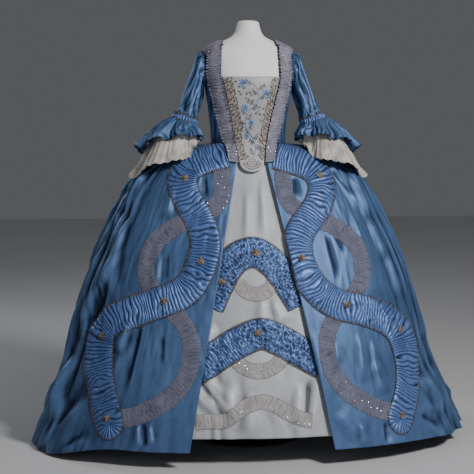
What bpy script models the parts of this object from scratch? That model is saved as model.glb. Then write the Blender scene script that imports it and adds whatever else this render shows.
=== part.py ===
"""A robe a la francaise in blue silk taffeta over an ivory petticoat, on a limbless dress form and stand.

Metres, +Z up. The wearer faces -Y, and +X is the wearer's left. The origin is on the floor, under the pole.
Each cut piece is one closed wall. The gown's pieces share one surface, so that they meet at their seams.
"""

import math
from collections import namedtuple

import bpy
import numpy as np

# Driving sizes
WAIST_Z = 1.045
FRONT_HEM_Z = 0.060
LEFT_HEM_Z = 0.048
RIGHT_HEM_Z = 0.006
TRAIN_HEM_Z = 0.0014
PETTICOAT_HEM_Z = 0.100
NECKLINE_Z = 1.276
SHOULDER_TOP_Z = 1.402
ROUNDNESS = 2.25

# Cloth walls, and the gaps between layers
SILK = 0.0015
LACE = 0.0012
SEAM = 0.0004
FORM_EASE = 0.0010
GOWN_LIFT = 0.0050
ROSETTE_RADIUS = 0.0115
ROSETTE_NOTCH = 0.0085
ROSETTE_RISE = 0.0050

# How each strip is sewn on: half its width, the gap under it, its wall, the height of its gathers, the number
# of sections along it, and the share of its width that it starts with
Strip = namedtuple("Strip", "half gap wall puff sections start_share")
FURBELOW_STRIP = Strip(0.047, 0.0042, 0.0012, 0.0055, 71, 0.5)
ARC_STRIP = Strip(0.047, 0.0042, 0.0012, 0.0040, 23, 1.0)
NET_STRIP = Strip(0.028, 0.0014, 0.0012, 0.0008, 33, 1.0)
GARLAND_STRIP = Strip(0.0235, 0.0014, 0.0012, 0.0008, 9, 1.0)
LONG_GARLAND_STRIP = Strip(0.0235, 0.0014, 0.0012, 0.0008, 19, 1.0)
LOW_RIDGE = 0.62

# Stand
BASE_RADIUS = 0.190
BASE_THICK = 0.008
POLE_RADIUS = 0.016
FORM_BOTTOM_Z = 0.850
PART_GAP = 0.0003

# Sections of the dress form, from the hips to the neck's top
FormRow = namedtuple("FormRow", "z half_width front back exponent")
FORM = (
    FormRow(FORM_BOTTOM_Z, 0.148, 0.096, 0.112, 2.3),
    FormRow(0.900, 0.152, 0.100, 0.116, 2.3),
    FormRow(0.950, 0.146, 0.098, 0.108, 2.3),
    FormRow(1.000, 0.134, 0.094, 0.095, 2.25),
    FormRow(WAIST_Z, 0.126, 0.092, 0.085, ROUNDNESS),
    FormRow(1.090, 0.127, 0.096, 0.084, ROUNDNESS),
    FormRow(1.140, 0.132, 0.102, 0.085, ROUNDNESS),
    FormRow(1.190, 0.139, 0.108, 0.088, ROUNDNESS),
    FormRow(1.243, 0.147, 0.111, 0.090, ROUNDNESS),
    FormRow(NECKLINE_Z, 0.150, 0.107, 0.091, 2.2),
    FormRow(1.305, 0.151, 0.098, 0.090, 2.2),
    FormRow(1.335, 0.152, 0.087, 0.086, 2.2),
    FormRow(1.355, 0.150, 0.078, 0.080, 2.15),
    FormRow(1.367, 0.146, 0.073, 0.075, 2.15),
    FormRow(1.380, 0.134, 0.067, 0.069, 2.1),
    FormRow(1.391, 0.113, 0.060, 0.062, 2.05),
    FormRow(SHOULDER_TOP_Z, 0.088, 0.053, 0.056, 2.0),
    FormRow(1.412, 0.066, 0.048, 0.050, 2.0),
    FormRow(1.424, 0.052, 0.044, 0.045, 2.0),
    FormRow(1.440, 0.044, 0.041, 0.042, 2.0),
    FormRow(1.458, 0.039, 0.038, 0.039, 2.0),
    FormRow(1.468, 0.034, 0.033, 0.034, 2.0),
    FormRow(1.473, 0.020, 0.020, 0.020, 2.0),
)

# Plan of the gown's skirt down its length. fall is the share of the drop from waist to hem, and seam_x is
# where the skirt meets the sack back.
SkirtRow = namedtuple("SkirtRow", "down fall half_width front back seam_x")
SKIRT = (
    SkirtRow(0.00, 0.000, 0.1310, 0.0970, 0.0900, 0.1224),
    SkirtRow(0.05, 0.006, 0.188, 0.103, 0.102, 0.129),
    SkirtRow(0.10, 0.020, 0.250, 0.112, 0.120, 0.138),
    SkirtRow(0.16, 0.050, 0.325, 0.128, 0.148, 0.151),
    SkirtRow(0.23, 0.110, 0.397, 0.156, 0.190, 0.170),
    SkirtRow(0.32, 0.205, 0.452, 0.200, 0.245, 0.200),
    SkirtRow(0.46, 0.370, 0.533, 0.274, 0.330, 0.254),
    SkirtRow(0.61, 0.565, 0.597, 0.350, 0.425, 0.322),
    SkirtRow(0.78, 0.760, 0.648, 0.420, 0.530, 0.400),
    SkirtRow(0.91, 0.900, 0.705, 0.462, 0.630, 0.460),
    SkirtRow(1.00, 1.000, 0.752, 0.487, 0.730, 0.500),
)

# Side seam at the waist, and the armhole above it
SIDE_SEAM_PHI = 112.0
ARMHOLE_PHI = 92.0
ARMHOLE_Z = 1.305
ARMHOLE_HALF_PHI = 21.0
ARMHOLE_HALF_Z = 0.062

# Opening between the gown's front edges, as a half width
OPENING_TOP = 0.054
OPENING_HEM = 0.238
OPENING_SLOPE = 0.2015

# Fluted folds on the sides and the back, as ridges across the plan angle
Fold = namedtuple("Fold", "phi width hem_depth")
SIDE_FOLDS = (
    Fold(60.0, 5.0, 0.012),
    Fold(73.0, 5.5, 0.017),
    Fold(87.0, 5.5, 0.020),
    Fold(101.0, 5.5, 0.022),
    Fold(115.0, 5.5, 0.024),
    Fold(129.0, 5.5, 0.024),
)

# Fall of the sack back: its middle line, from the neck to the train
SackRow = namedtuple("SackRow", "z middle")
SACK = (
    SackRow(TRAIN_HEM_Z, 0.790),
    SackRow(0.130, 0.690),
    SackRow(0.273, 0.612),
    SackRow(0.470, 0.512),
    SackRow(0.669, 0.412),
    SackRow(0.837, 0.330),
    SackRow(0.923, 0.288),
    SackRow(WAIST_Z, 0.222),
    SackRow(1.140, 0.176),
    SackRow(1.243, 0.136),
    SackRow(1.335, 0.101),
    SackRow(1.380, 0.0762),
    SackRow(1.391, 0.0684),
    SackRow(SHOULDER_TOP_Z, 0.0618),
)
PLEAT_STEP_TOP = 0.0095
PLEAT_STEP_HEM = 0.030


def smooth_column(rows, key, column, at):
    """The value of one named column at the given key, on a smooth curve through the rows."""
    xs = np.array([getattr(r, key) for r in rows], float)
    ys = np.array([getattr(r, column) for r in rows], float)
    slopes = np.gradient(ys, xs)
    at = np.clip(np.asarray(at, float), xs[0], xs[-1])
    i = np.clip(np.searchsorted(xs, at) - 1, 0, len(xs) - 2)
    h = xs[i + 1] - xs[i]
    s = (at - xs[i]) / h
    return (
        (2 * s**3 - 3 * s**2 + 1) * ys[i]
        + (s**3 - 2 * s**2 + s) * h * slopes[i]
        + (3 * s**2 - 2 * s**3) * ys[i + 1]
        + (s**3 - s**2) * h * slopes[i + 1]
    )


def ease(x):
    """A smooth step from 0 to 1."""
    x = np.clip(x, 0.0, 1.0)
    return x * x * (3 - 2 * x)


def plan_point(phi, z, half_width, front, back, exponent):
    """A point of a rounded plan section.

    phi is in degrees: 0 in front, 90 at the wearer's left, 180 behind.
    """
    angle = np.radians(phi)
    s, c = np.sin(angle), np.cos(angle)
    x = half_width * np.sign(s) * np.abs(s) ** (2 / exponent)
    y = -np.where(c > 0, front, back) * np.sign(c) * np.abs(c) ** (2 / exponent)
    return np.stack(np.broadcast_arrays(x, y, z), axis=-1)


def body_exponent(z):
    return smooth_column(FORM, "z", "exponent", z)


def phi_of_x(x, half_width, exponent=ROUNDNESS):
    """The plan angle at which a section's front has this x."""
    return np.degrees(np.arcsin(np.clip(np.abs(x) / half_width, 0, 1) ** (exponent / 2)))


def body_point(phi, z, lift):
    """A point on the dress form's surface, lifted off it."""
    size = [smooth_column(FORM, "z", c, z) + lift for c in ("half_width", "front", "back")]
    return plan_point(phi, z, *size, body_exponent(z))


def hem_z(phi, side):
    """The gown's hem: clear of the floor in front, lower at the wearer's right, and on the floor behind."""
    side_z = LEFT_HEM_Z if side > 0 else RIGHT_HEM_Z
    to_side = ease((phi - 35) / 35)
    to_back = ease((phi - 85) / 50)
    at_side = FRONT_HEM_Z + (side_z - FRONT_HEM_Z) * to_side
    return at_side + (TRAIN_HEM_Z - at_side) * to_back


def fold_relief(phi, down):
    """How far the fluted folds stand out of the plain skirt."""
    grown = ease((down - 0.12) / 0.9)
    relief = sum(f.hem_depth * np.exp(-(((phi - f.phi) / f.width) ** 2)) for f in SIDE_FOLDS)
    return relief * grown


def skirt_point(phi, down, side=1, lift=0.0):
    """A point on the gown's skirt. down runs from 0 at the waist to 1 at the hem."""
    fall = smooth_column(SKIRT, "down", "fall", down)
    z = WAIST_Z - fall * (WAIST_Z - hem_z(phi, side))
    out = lift + fold_relief(phi, down)
    size = [smooth_column(SKIRT, "down", c, down) + out for c in ("half_width", "front", "back")]
    return plan_point(phi, z, *size, ROUNDNESS)


def down_of_z(z, hem=FRONT_HEM_Z):
    """How far down the skirt a height lies."""
    fall = np.clip((WAIST_Z - np.asarray(z, float)) / (WAIST_Z - hem), 0, 1)
    steps = np.linspace(0, 1, 401)
    return np.interp(fall, smooth_column(SKIRT, "down", "fall", steps), steps)


def front_point(x, z, lift):
    """The point of the gown's front, bodice or skirt, at this x and height."""
    x, z = np.broadcast_arrays(np.asarray(x, float), np.asarray(z, float))
    down = down_of_z(z)
    above = z >= WAIST_Z
    body_half = smooth_column(FORM, "z", "half_width", z) + GOWN_LIFT + lift
    skirt_half = smooth_column(SKIRT, "down", "half_width", down) + lift
    phi = phi_of_x(x, np.where(above, body_half, skirt_half), np.where(above, body_exponent(z), ROUNDNESS))
    on_body = body_point(phi, z, GOWN_LIFT + lift)
    on_skirt = skirt_point(phi, down, 1, lift)
    found = np.where(above[..., None], on_body, on_skirt)
    found[..., 0] = x
    found[..., 2] = z
    return found


def opening_half(down):
    """Half the width between the gown's front edges."""
    drop = smooth_column(SKIRT, "down", "fall", down) * (WAIST_Z - FRONT_HEM_Z)
    return np.maximum(OPENING_TOP, OPENING_HEM - OPENING_SLOPE * (WAIST_Z - FRONT_HEM_Z - drop))


def side_seam_phi(down):
    """The plan angle of the seam between the skirt and the sack back."""
    half = smooth_column(SKIRT, "down", "half_width", down)
    return 180 - phi_of_x(smooth_column(SKIRT, "down", "seam_x", down), half)


def armhole_reach(z):
    """How far the armhole spreads to either side of its middle at this height, in degrees."""
    share = np.clip((np.asarray(z, float) - ARMHOLE_Z) / ARMHOLE_HALF_Z, -1, 1)
    return ARMHOLE_HALF_PHI * np.sqrt(1 - share**2)


def bodice_edge_phi(z, sign):
    """The edge that the bodice front (sign -1) and the back (sign +1) share, up to the shoulder seam."""
    z = np.asarray(z, float)
    low = ARMHOLE_Z - ARMHOLE_HALF_Z
    seam = SIDE_SEAM_PHI + (ARMHOLE_PHI - SIDE_SEAM_PHI) * ease((z - WAIST_Z) / (low - WAIST_Z))
    return np.where(z < low, seam, ARMHOLE_PHI + sign * armhole_reach(z))


def material(name, colour, roughness, metallic=0.0):
    made = bpy.data.materials.new(name)
    made.use_nodes = True
    shader = made.node_tree.nodes["Principled BSDF"]
    shader.inputs["Base Color"].default_value = (*colour, 1.0)
    shader.inputs["Roughness"].default_value = roughness
    shader.inputs["Metallic"].default_value = metallic
    return made


def new_object(name, vertices, faces, look, smooth=True):
    mesh = bpy.data.meshes.new(name)
    mesh.from_pydata([tuple(map(float, v)) for v in vertices], [], faces)
    mesh.update()
    if smooth:
        mesh.shade_smooth()
    mesh.materials.append(look)
    made = bpy.data.objects.new(name, mesh)
    GOWN.objects.link(made)
    return made


def grid_faces(rows, columns, wrap, start=0, flip=False):
    """Triangles over a grid of points that is stored row by row."""
    faces = []
    for r in range(rows - 1):
        for c in range(columns if wrap else columns - 1):
            d = (c + 1) % columns
            low, low_next = r * columns + c + start, r * columns + d + start
            high, high_next = low + columns, low_next + columns
            for face in ([low, low_next, high], [low_next, high_next, high]):
                faces.append(face[::-1] if flip else face)
    return faces


def mirrored(points, side):
    """The same points on the wearer's left (side 1) or right (side -1)."""
    return points * np.array([side, 1.0, 1.0])


def cloth(name, points, look, thick=SILK, wrap=False, flip=False, even=True):
    """An open grid of cloth, given its thickness inwards by Solidify."""
    rows, columns = points.shape[:2]
    made = new_object(name, points.reshape(-1, 3), grid_faces(rows, columns, wrap, flip=flip), look)
    wall = made.modifiers.new("Thickness", "SOLIDIFY")
    wall.thickness = thick
    wall.offset = -1.0
    wall.use_even_offset = even
    wall.use_quality_normals = True
    return made


def applied(name, inside, outside, look, flip=False):
    """A closed strip between a plain inside grid and a raised outside grid of the same size."""
    rows, columns = inside.shape[:2]
    total = rows * columns
    faces = grid_faces(rows, columns, False, 0, not flip) + grid_faces(rows, columns, False, total, flip)
    rim = [c for c in range(columns)]
    rim += [r * columns + columns - 1 for r in range(1, rows)]
    rim += [(rows - 1) * columns + c for c in range(columns - 2, -1, -1)]
    rim += [r * columns for r in range(rows - 2, 0, -1)]
    for a, b in zip(rim, rim[1:] + rim[:1]):
        quad = [a, b, b + total, a + total]
        faces.append(quad[::-1] if flip else quad)
    points = np.concatenate([inside.reshape(-1, 3), outside.reshape(-1, 3)])
    return new_object(name, points, faces, look)


def cylinder(name, radius, low, high, look, bevel, sides):
    bpy.ops.mesh.primitive_cylinder_add(vertices=sides, radius=radius, depth=high - low)
    made = bpy.context.object
    made.name = name
    made.location = (0.0, 0.0, (low + high) / 2)
    made.data.materials.append(look)
    made.data.shade_smooth()
    made.data.set_sharp_from_angle(angle=math.radians(40))
    if bevel:
        rounded = made.modifiers.new("Rounded rim", "BEVEL")
        rounded.width = bevel
        rounded.segments = 1
        rounded.limit_method = "ANGLE"
    for home in list(made.users_collection):
        home.objects.unlink(made)
    GOWN.objects.link(made)
    return made


def build_form_and_stand():
    """The white torso with its neck, on a pole and a round base."""
    columns = 20
    phi = np.arange(columns) * 360 / columns
    rings = np.array([plan_point(phi, r.z, r.half_width, r.front, r.back, r.exponent) for r in FORM])
    rows = len(rings)
    faces = grid_faces(rows, columns, True)
    faces.append([c for c in range(columns)][::-1])
    faces.append([(rows - 1) * columns + c for c in range(columns)])
    new_object("dress_form", rings.reshape(-1, 3), faces, LINEN)
    cylinder("stand_pole", POLE_RADIUS, BASE_THICK + PART_GAP, FORM_BOTTOM_Z - PART_GAP, STEEL, 0.0, 16)
    cylinder("stand_base", BASE_RADIUS, 0.0, BASE_THICK, STEEL, 0.002, 32)


PETTICOAT_DOWNS = (0.0, 0.05, 0.10, 0.16, 0.23, 0.32)
PETTICOAT_HEIGHTS = (0.690, 0.500, 0.300, PETTICOAT_HEM_Z)
PETTICOAT_COLUMNS = 40


def petticoat_grid():
    """Rows of the petticoat, hem first, each inside the gown and a little lower."""
    phi = (np.arange(PETTICOAT_COLUMNS) + 0.5) * 360 / PETTICOAT_COLUMNS
    hem = hem_z(np.minimum(phi, 360 - phi), -1)
    sections = []
    for down in PETTICOAT_DOWNS:
        below = 0.0025 + 0.004 * float(ease(down / 0.1))
        fall = smooth_column(SKIRT, "down", "fall", down)
        sections.append((WAIST_Z - below - fall * (WAIST_Z - hem), np.full_like(phi, down)))
    for z in PETTICOAT_HEIGHTS:
        sections.append((np.full_like(phi, z), down_of_z(z + 0.006, hem)))
    rows = []
    for z, down in sections:
        clear = GOWN_LIFT - FORM_EASE - SILK + 0.011 * ease(down / 0.3)
        size = [smooth_column(SKIRT, "down", c, down) - clear for c in ("half_width", "front", "back")]
        rows.append(plan_point(phi, z, *size, ROUNDNESS))
    return np.array(rows)[::-1]


def build_petticoat():
    """A full round petticoat: a flat waistband on the form, and a skirt that keeps inside the gown."""
    cloth("petticoat", petticoat_grid(), IVORY, wrap=True)


BODICE_HEIGHTS = (1.09, 1.14, 1.19, 1.243, NECKLINE_Z, 1.305, 1.335, 1.355, 1.367, 1.38, 1.391)


def build_bodice(side, name):
    """One bodice front, from beside the stomacher round to the side seam, and up to the shoulder seam."""
    rows = []
    for z in (WAIST_Z + SEAM / 2, *BODICE_HEIGHTS):
        half = float(smooth_column(FORM, "z", "half_width", z)) + GOWN_LIFT
        start = phi_of_x(np.interp(z, STOMACHER_Z, STOMACHER_HALF) + SEAM, half, body_exponent(z))
        end = float(bodice_edge_phi(z, -1)) - np.degrees(SEAM / half)
        phi = start + (end - start) * np.linspace(0, 1, 8)
        rows.append(body_point(phi, z, GOWN_LIFT))
    cloth(name, mirrored(np.array(rows), side), BLUE, flip=side < 0)


# Half the stomacher's width at these heights. Above the neckline it is where the shoulder straps begin.
STOMACHER_Z = (0.985, 1.045, 1.12, 1.20, NECKLINE_Z, 1.33, 1.38, SHOULDER_TOP_Z)
STOMACHER_HALF = (0.0425, 0.0525, 0.067, 0.084, 0.101, 0.100, 0.096, 0.080)
STOMACHER_TIP_Z = 0.952


def build_stomacher():
    """The stiff ivory V in front of the bodice, with its rounded tip over the petticoat."""
    turn = np.radians([12, 35, 62, 90])
    tip_height = STOMACHER_Z[0] - STOMACHER_TIP_Z
    tip = STOMACHER_TIP_Z + tip_height * (1 - np.cos(turn))
    above = (1.010, 1.030, WAIST_Z, *BODICE_HEIGHTS[:5])
    halves = [*(STOMACHER_HALF[0] * np.sin(turn)), *np.interp(above, STOMACHER_Z, STOMACHER_HALF)]
    rows = [front_point(np.linspace(-1, 1, 7) * half, z, 0.0) for z, half in zip((*tip, *above), halves)]
    cloth("stomacher", np.array(rows), IVORY_SATIN)


SKIRT_ROWS = (0.0, 0.05, 0.10, 0.16, 0.23, 0.32, 0.46, 0.61, 0.78, 0.91, 1.0)
TRIMMED_PHI = 52.0


def skirt_grid(side):
    """Rows of one side of the gown's skirt, hem first, from its front edge to the seam with the back."""
    rows = []
    for down in SKIRT_ROWS[::-1]:
        half = float(smooth_column(SKIRT, "down", "half_width", down))
        start = float(phi_of_x(opening_half(down), half))
        end = float(side_seam_phi(down)) - np.degrees(SEAM / 2 / (0.6 * half))
        near = np.linspace(start, TRIMMED_PHI, 9)
        far = np.linspace(TRIMMED_PHI, end, 21)[1:]
        rows.append(skirt_point(np.concatenate([near, far]), down, side))
    return mirrored(np.array(rows), side)


def build_skirt(side, name):
    cloth(name, skirt_grid(side), BLUE, flip=side < 0)


def box_pleats(share, fullness):
    """Relief of two double box pleats, one each side of the middle."""
    def plateau(start, end, soft):
        return ease((share - start) / soft + 0.5) * ease((end - share) / soft + 0.5)

    soft = 0.05 + 0.07 * fullness
    return plateau(0.06, 0.80, soft) + plateau(0.24, 0.62, soft)


def sack_row(z_middle, shares):
    """One row of the sack back, from seam to seam."""
    share = np.abs(shares)
    if z_middle > WAIST_Z:
        edge = float(bodice_edge_phi(z_middle, 1)) + np.degrees(SEAM / 0.1)
        points = body_point(180 - (180 - edge) * share, z_middle, GOWN_LIFT)
        flatness = 0.85 * float(ease((1.375 - z_middle) / 0.16))
        down = 0.0
    else:
        down = float(down_of_z(z_middle, TRAIN_HEM_Z))
        edge = float(side_seam_phi(down)) + np.degrees(SEAM / 0.1) * (1 - 0.8 * float(ease(down / 0.3)))
        phi = 180 - (180 - edge) * share
        points = np.where(shares[:, None] > 0, skirt_point(phi, down, 1), skirt_point(phi, down, -1))
        flatness = 0.85 * float(ease(1 - down / 0.5))
    middle = float(smooth_column(SACK, "z", "middle", z_middle))
    edge_y = np.where(shares > 0, points[0, 1], points[-1, 1])
    back = points[len(shares) // 2, 1]
    steep = ease((1 - share) / 0.3)
    flat = np.maximum(points[:, 1], edge_y + (back - edge_y) * steep)
    fullness = float(ease(down))
    step = PLEAT_STEP_TOP + (PLEAT_STEP_HEM - PLEAT_STEP_TOP) * fullness
    step *= 0.25 + 0.75 * float(ease((1.38 - z_middle) / 0.12))
    pleats = step * (box_pleats(share, fullness) - 0.5 * fullness) * ease((1 - share) / 0.1)
    points[:, 0] *= np.sign(shares)
    points[:, 1] += (flat - points[:, 1]) * flatness + (middle - back) * steep + pleats
    points[:, 2] += (z_middle - points[:, 2]) * ease((1 - share) / 0.5)
    return points


SACK_SHARES = (0.0, 0.05, 0.13, 0.19, 0.27, 0.42, 0.57, 0.65, 0.75, 0.83, 0.92, 1.0)


def build_sack_back():
    """The back panel, pleated at the neck and falling free to the train."""
    half_shares = np.array(SACK_SHARES)
    shares = np.concatenate([half_shares[::-1], -half_shares[1:]])
    falls = smooth_column(SKIRT, "down", "fall", SKIRT_ROWS[1:])
    heights = [*(WAIST_Z - falls[::-1] * (WAIST_Z - TRAIN_HEM_Z)), WAIST_Z + SEAM / 2, *BODICE_HEIGHTS]
    rows = [sack_row(float(z), shares) for z in heights]
    cloth("sack_back", np.array(rows), BLUE)


# Centres of the sleeve's rings beyond the armhole. lean is the angle of the sleeve from the vertical.
SleeveRow = namedtuple("SleeveRow", "x y z half_height half_depth lean")
SLEEVE = (
    SleeveRow(0.167, -0.002, 1.299, 0.0588, 0.044, 80.3),
    SleeveRow(0.174, -0.004, 1.277, 0.0425, 0.046, 66.4),
    SleeveRow(0.187, -0.009, 1.236, 0.0345, 0.046, 38.4),
    SleeveRow(0.201, -0.018, 1.195, 0.0345, 0.045, 20.6),
    SleeveRow(0.2135, -0.027, 1.1545, 0.0373, 0.045, 18.0),
    SleeveRow(0.224, -0.034, 1.127, 0.0386, 0.046, 16.5),
)


def sleeve_ring(row, turn, lift=0.0):
    """One ring of the sleeve. turn is 0 on top, 90 behind."""
    lean, angle = math.radians(row.lean), np.radians(turn)
    up = np.array([math.cos(lean), 0.0, math.sin(lean)])
    back = np.array([0.0, 1.0, 0.0])
    centre = np.array([row.x, row.y, row.z])
    return (
        centre
        + np.cos(angle)[..., None] * up * (row.half_height + lift)
        + np.sin(angle)[..., None] * back * (row.half_depth + lift)
    )


def build_sleeve(side, name):
    """A fitted sleeve, from the armhole to the elbow."""
    turn = np.arange(16) * 22.5
    armhole = body_point(
        ARMHOLE_PHI + 1.02 * ARMHOLE_HALF_PHI * np.sin(np.radians(turn)),
        ARMHOLE_Z + 1.02 * ARMHOLE_HALF_Z * np.cos(np.radians(turn)),
        GOWN_LIFT + 0.0018,
    )
    rings = [armhole] + [sleeve_ring(r, turn) for r in SLEEVE]
    cloth(name, mirrored(np.array(rings), side), BLUE, wrap=True, flip=side > 0)


def skirt_top_z(x, y):
    """The height of the gown's skirt, or of the shelf over the hips, above this place."""
    downs = np.linspace(0, 1, 60)
    half, front, back, fall = (
        smooth_column(SKIRT, "down", c, downs) for c in ("half_width", "front", "back", "fall")
    )
    depth = np.where(np.asarray(y)[..., None] < 0, front, back)
    reach = (np.abs(x)[..., None] / half) ** ROUNDNESS + (np.abs(y)[..., None] / depth) ** ROUNDNESS
    fall_there = np.array([np.interp(-1.0, -r, fall) for r in reach.reshape(-1, len(downs))])
    return WAIST_Z - fall_there.reshape(np.shape(x)) * (WAIST_Z - RIGHT_HEM_Z)


def lay_over_skirt(points, clear):
    """Moves points out along the skirt's slope until they clear it."""
    points = points.copy()
    step = 0.002
    for _ in range(6):
        x, y, z = points[..., 0], points[..., 1], points[..., 2]
        top = skirt_top_z(x, y)
        slope_x = (skirt_top_z(x + step, y) - skirt_top_z(x - step, y)) / (2 * step)
        slope_y = (skirt_top_z(x, y + step) - skirt_top_z(x, y - step)) / (2 * step)
        normal = np.stack([-slope_x, -slope_y, np.ones_like(x)], axis=-1)
        long = np.linalg.norm(normal, axis=-1)
        lack = np.maximum(0.0, clear - (z - top) / long)
        points += normal / long[..., None] * lack[..., None]
    return points


# A flounce's reach and drop round the sleeve. turn is 0 outside, 90 behind, 180 inside, 270 in front.
FlounceRow = namedtuple("FlounceRow", "turn reach drop")
SILK_FLOUNCE = (
    FlounceRow(0, 0.125, 0.105),
    FlounceRow(45, 0.110, 0.150),
    FlounceRow(90, 0.065, 0.120),
    FlounceRow(135, 0.035, 0.085),
    FlounceRow(180, 0.018, 0.066),
    FlounceRow(225, 0.030, 0.045),
    FlounceRow(270, 0.050, 0.048),
    FlounceRow(315, 0.075, 0.066),
    FlounceRow(360, 0.125, 0.105),
)
LACE_FLOUNCE = (
    FlounceRow(0, 0.150, 0.215),
    FlounceRow(45, 0.100, 0.185),
    FlounceRow(90, 0.050, 0.140),
    FlounceRow(135, 0.026, 0.115),
    FlounceRow(180, 0.014, 0.094),
    FlounceRow(225, 0.020, 0.100),
    FlounceRow(270, 0.038, 0.128),
    FlounceRow(315, 0.105, 0.150),
    FlounceRow(360, 0.150, 0.215),
)


FLOUNCE_WAVES = 8
SILK_WAVE = 0.009
LACE_WAVE = 0.006
SILK_START = SILK + 0.0002
LACE_START = -0.0030
SILK_CLEAR = 0.026
LACE_CLEAR = 0.014


def flounce_points(table, lift, wave_height, columns, clear):
    """A gathered flounce that falls from the sleeve's end."""
    turn = np.arange(columns) * 360 / columns
    reach = smooth_column(table, "turn", "reach", turn)
    drop = smooth_column(table, "turn", "drop", turn)
    start = sleeve_ring(SLEEVE[-1], turn, lift)
    angle = np.radians(turn)
    out = np.stack([np.cos(angle), np.sin(angle), np.zeros(columns)], axis=-1)
    rows = []
    for share in (0.0, 0.3, 0.65, 1.0):
        wave = wave_height * share**0.7 * np.sin(np.radians(FLOUNCE_WAVES * turn))
        row = start + out * (reach * share**0.85 + wave)[:, None]
        row[:, 2] -= drop * share**1.25 + 0.35 * wave
        rows.append(row)
    points = np.array(rows)
    points[1:] = lay_over_skirt(points[1:], clear)
    return points


def build_flounces(side, word):
    """The silk flounce on the sleeve's end, and the lace one that hangs out from under it."""
    silk = flounce_points(SILK_FLOUNCE, SILK_START, SILK_WAVE, 40, SILK_CLEAR)
    lace = flounce_points(LACE_FLOUNCE, LACE_START, LACE_WAVE, 32, LACE_CLEAR)
    cloth(f"sleeve_flounce_{word}", mirrored(silk, side), BLUE, wrap=True, flip=side > 0, even=False)
    cloth(f"lace_cuff_{word}", mirrored(lace, side), LACE_WHITE, LACE, wrap=True, flip=side > 0, even=False)


# The two edges of a robing: up the front by x and height, then round the neck by plan angle.
RobingRow = namedtuple("RobingRow", "inner_x inner_z outer_x outer_z")
ROBING_FRONT = (
    RobingRow(0.0455, 0.982, 0.080, 0.986),
    RobingRow(0.048, 1.008, 0.083, 1.009),
    RobingRow(0.050, 1.026, 0.086, 1.027),
    RobingRow(0.052, 1.039, 0.089, 1.040),
    RobingRow(0.053, 1.047, 0.091, 1.048),
    RobingRow(0.059, 1.090, 0.104, 1.092),
    RobingRow(0.070, 1.140, 0.114, 1.141),
    RobingRow(0.081, 1.190, 0.125, 1.190),
    RobingRow(0.094, 1.243, 0.138, 1.243),
    RobingRow(0.1015, 1.276, 0.1435, 1.275),
    RobingRow(0.1010, 1.305, 0.1450, 1.303),
    RobingRow(0.1000, 1.335, 0.1440, 1.329),
    RobingRow(0.0985, 1.360, 0.1420, 1.346),
)
RobingTurn = namedtuple("RobingTurn", "inner_phi inner_z outer_phi outer_z lift")
ROBING_NECK = (
    RobingTurn(44.0, 1.381, 72.0, 1.3570, 0.0020),
    RobingTurn(50.0, 1.392, 78.0, 1.3620, 0.0022),
    RobingTurn(60.0, 1.398, 84.0, 1.3665, 0.0026),
    RobingTurn(71.0, 1.401, 90.0, 1.3705, 0.0034),
    RobingTurn(84.0, 1.402, 97.0, 1.3745, 0.0052),
    RobingTurn(98.0, 1.403, 106.0, 1.3775, 0.0075),
    RobingTurn(112.0, 1.403, 117.0, 1.3800, 0.0085),
    RobingTurn(128.0, 1.403, 131.0, 1.3825, 0.0090),
    RobingTurn(146.0, 1.403, 147.0, 1.3840, 0.0090),
    RobingTurn(163.0, 1.403, 163.0, 1.3850, 0.0090),
    RobingTurn(179.8, 1.403, 179.8, 1.3850, 0.0090),
)
ROBING_WALL = 0.0018
ROBING_CROWN = 0.0025


def build_robing(side, name):
    """The gathered net strip beside the stomacher, over the shoulder and round the back of the neck."""
    across = np.linspace(0, 1, 5)
    crown = ROBING_WALL + ROBING_CROWN * np.array([0.0, 0.8, 1.0, 0.8, 0.0])
    inside, outside = [], []
    for r in ROBING_FRONT:
        x = r.inner_x + (r.outer_x - r.inner_x) * across
        z = r.inner_z + (r.outer_z - r.inner_z) * across
        lift = 0.0016 if r.inner_z > WAIST_Z else 0.0040
        inside.append(front_point(x, z, lift))
        outside.append(inside[-1] - np.outer(crown, [0.0, 1.0, 0.0]))
    for r in ROBING_NECK:
        phi = r.inner_phi + (r.outer_phi - r.inner_phi) * across
        z = r.inner_z + (r.outer_z - r.inner_z) * across
        inside.append(body_point(phi, z, GOWN_LIFT + r.lift))
        outside.append(body_point(phi, z + 0.4 * crown, GOWN_LIFT + r.lift + crown))
    inside, outside = np.array(inside), np.array(outside)
    applied(name, mirrored(inside, side), mirrored(outside, side), NET, flip=side < 0)


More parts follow.
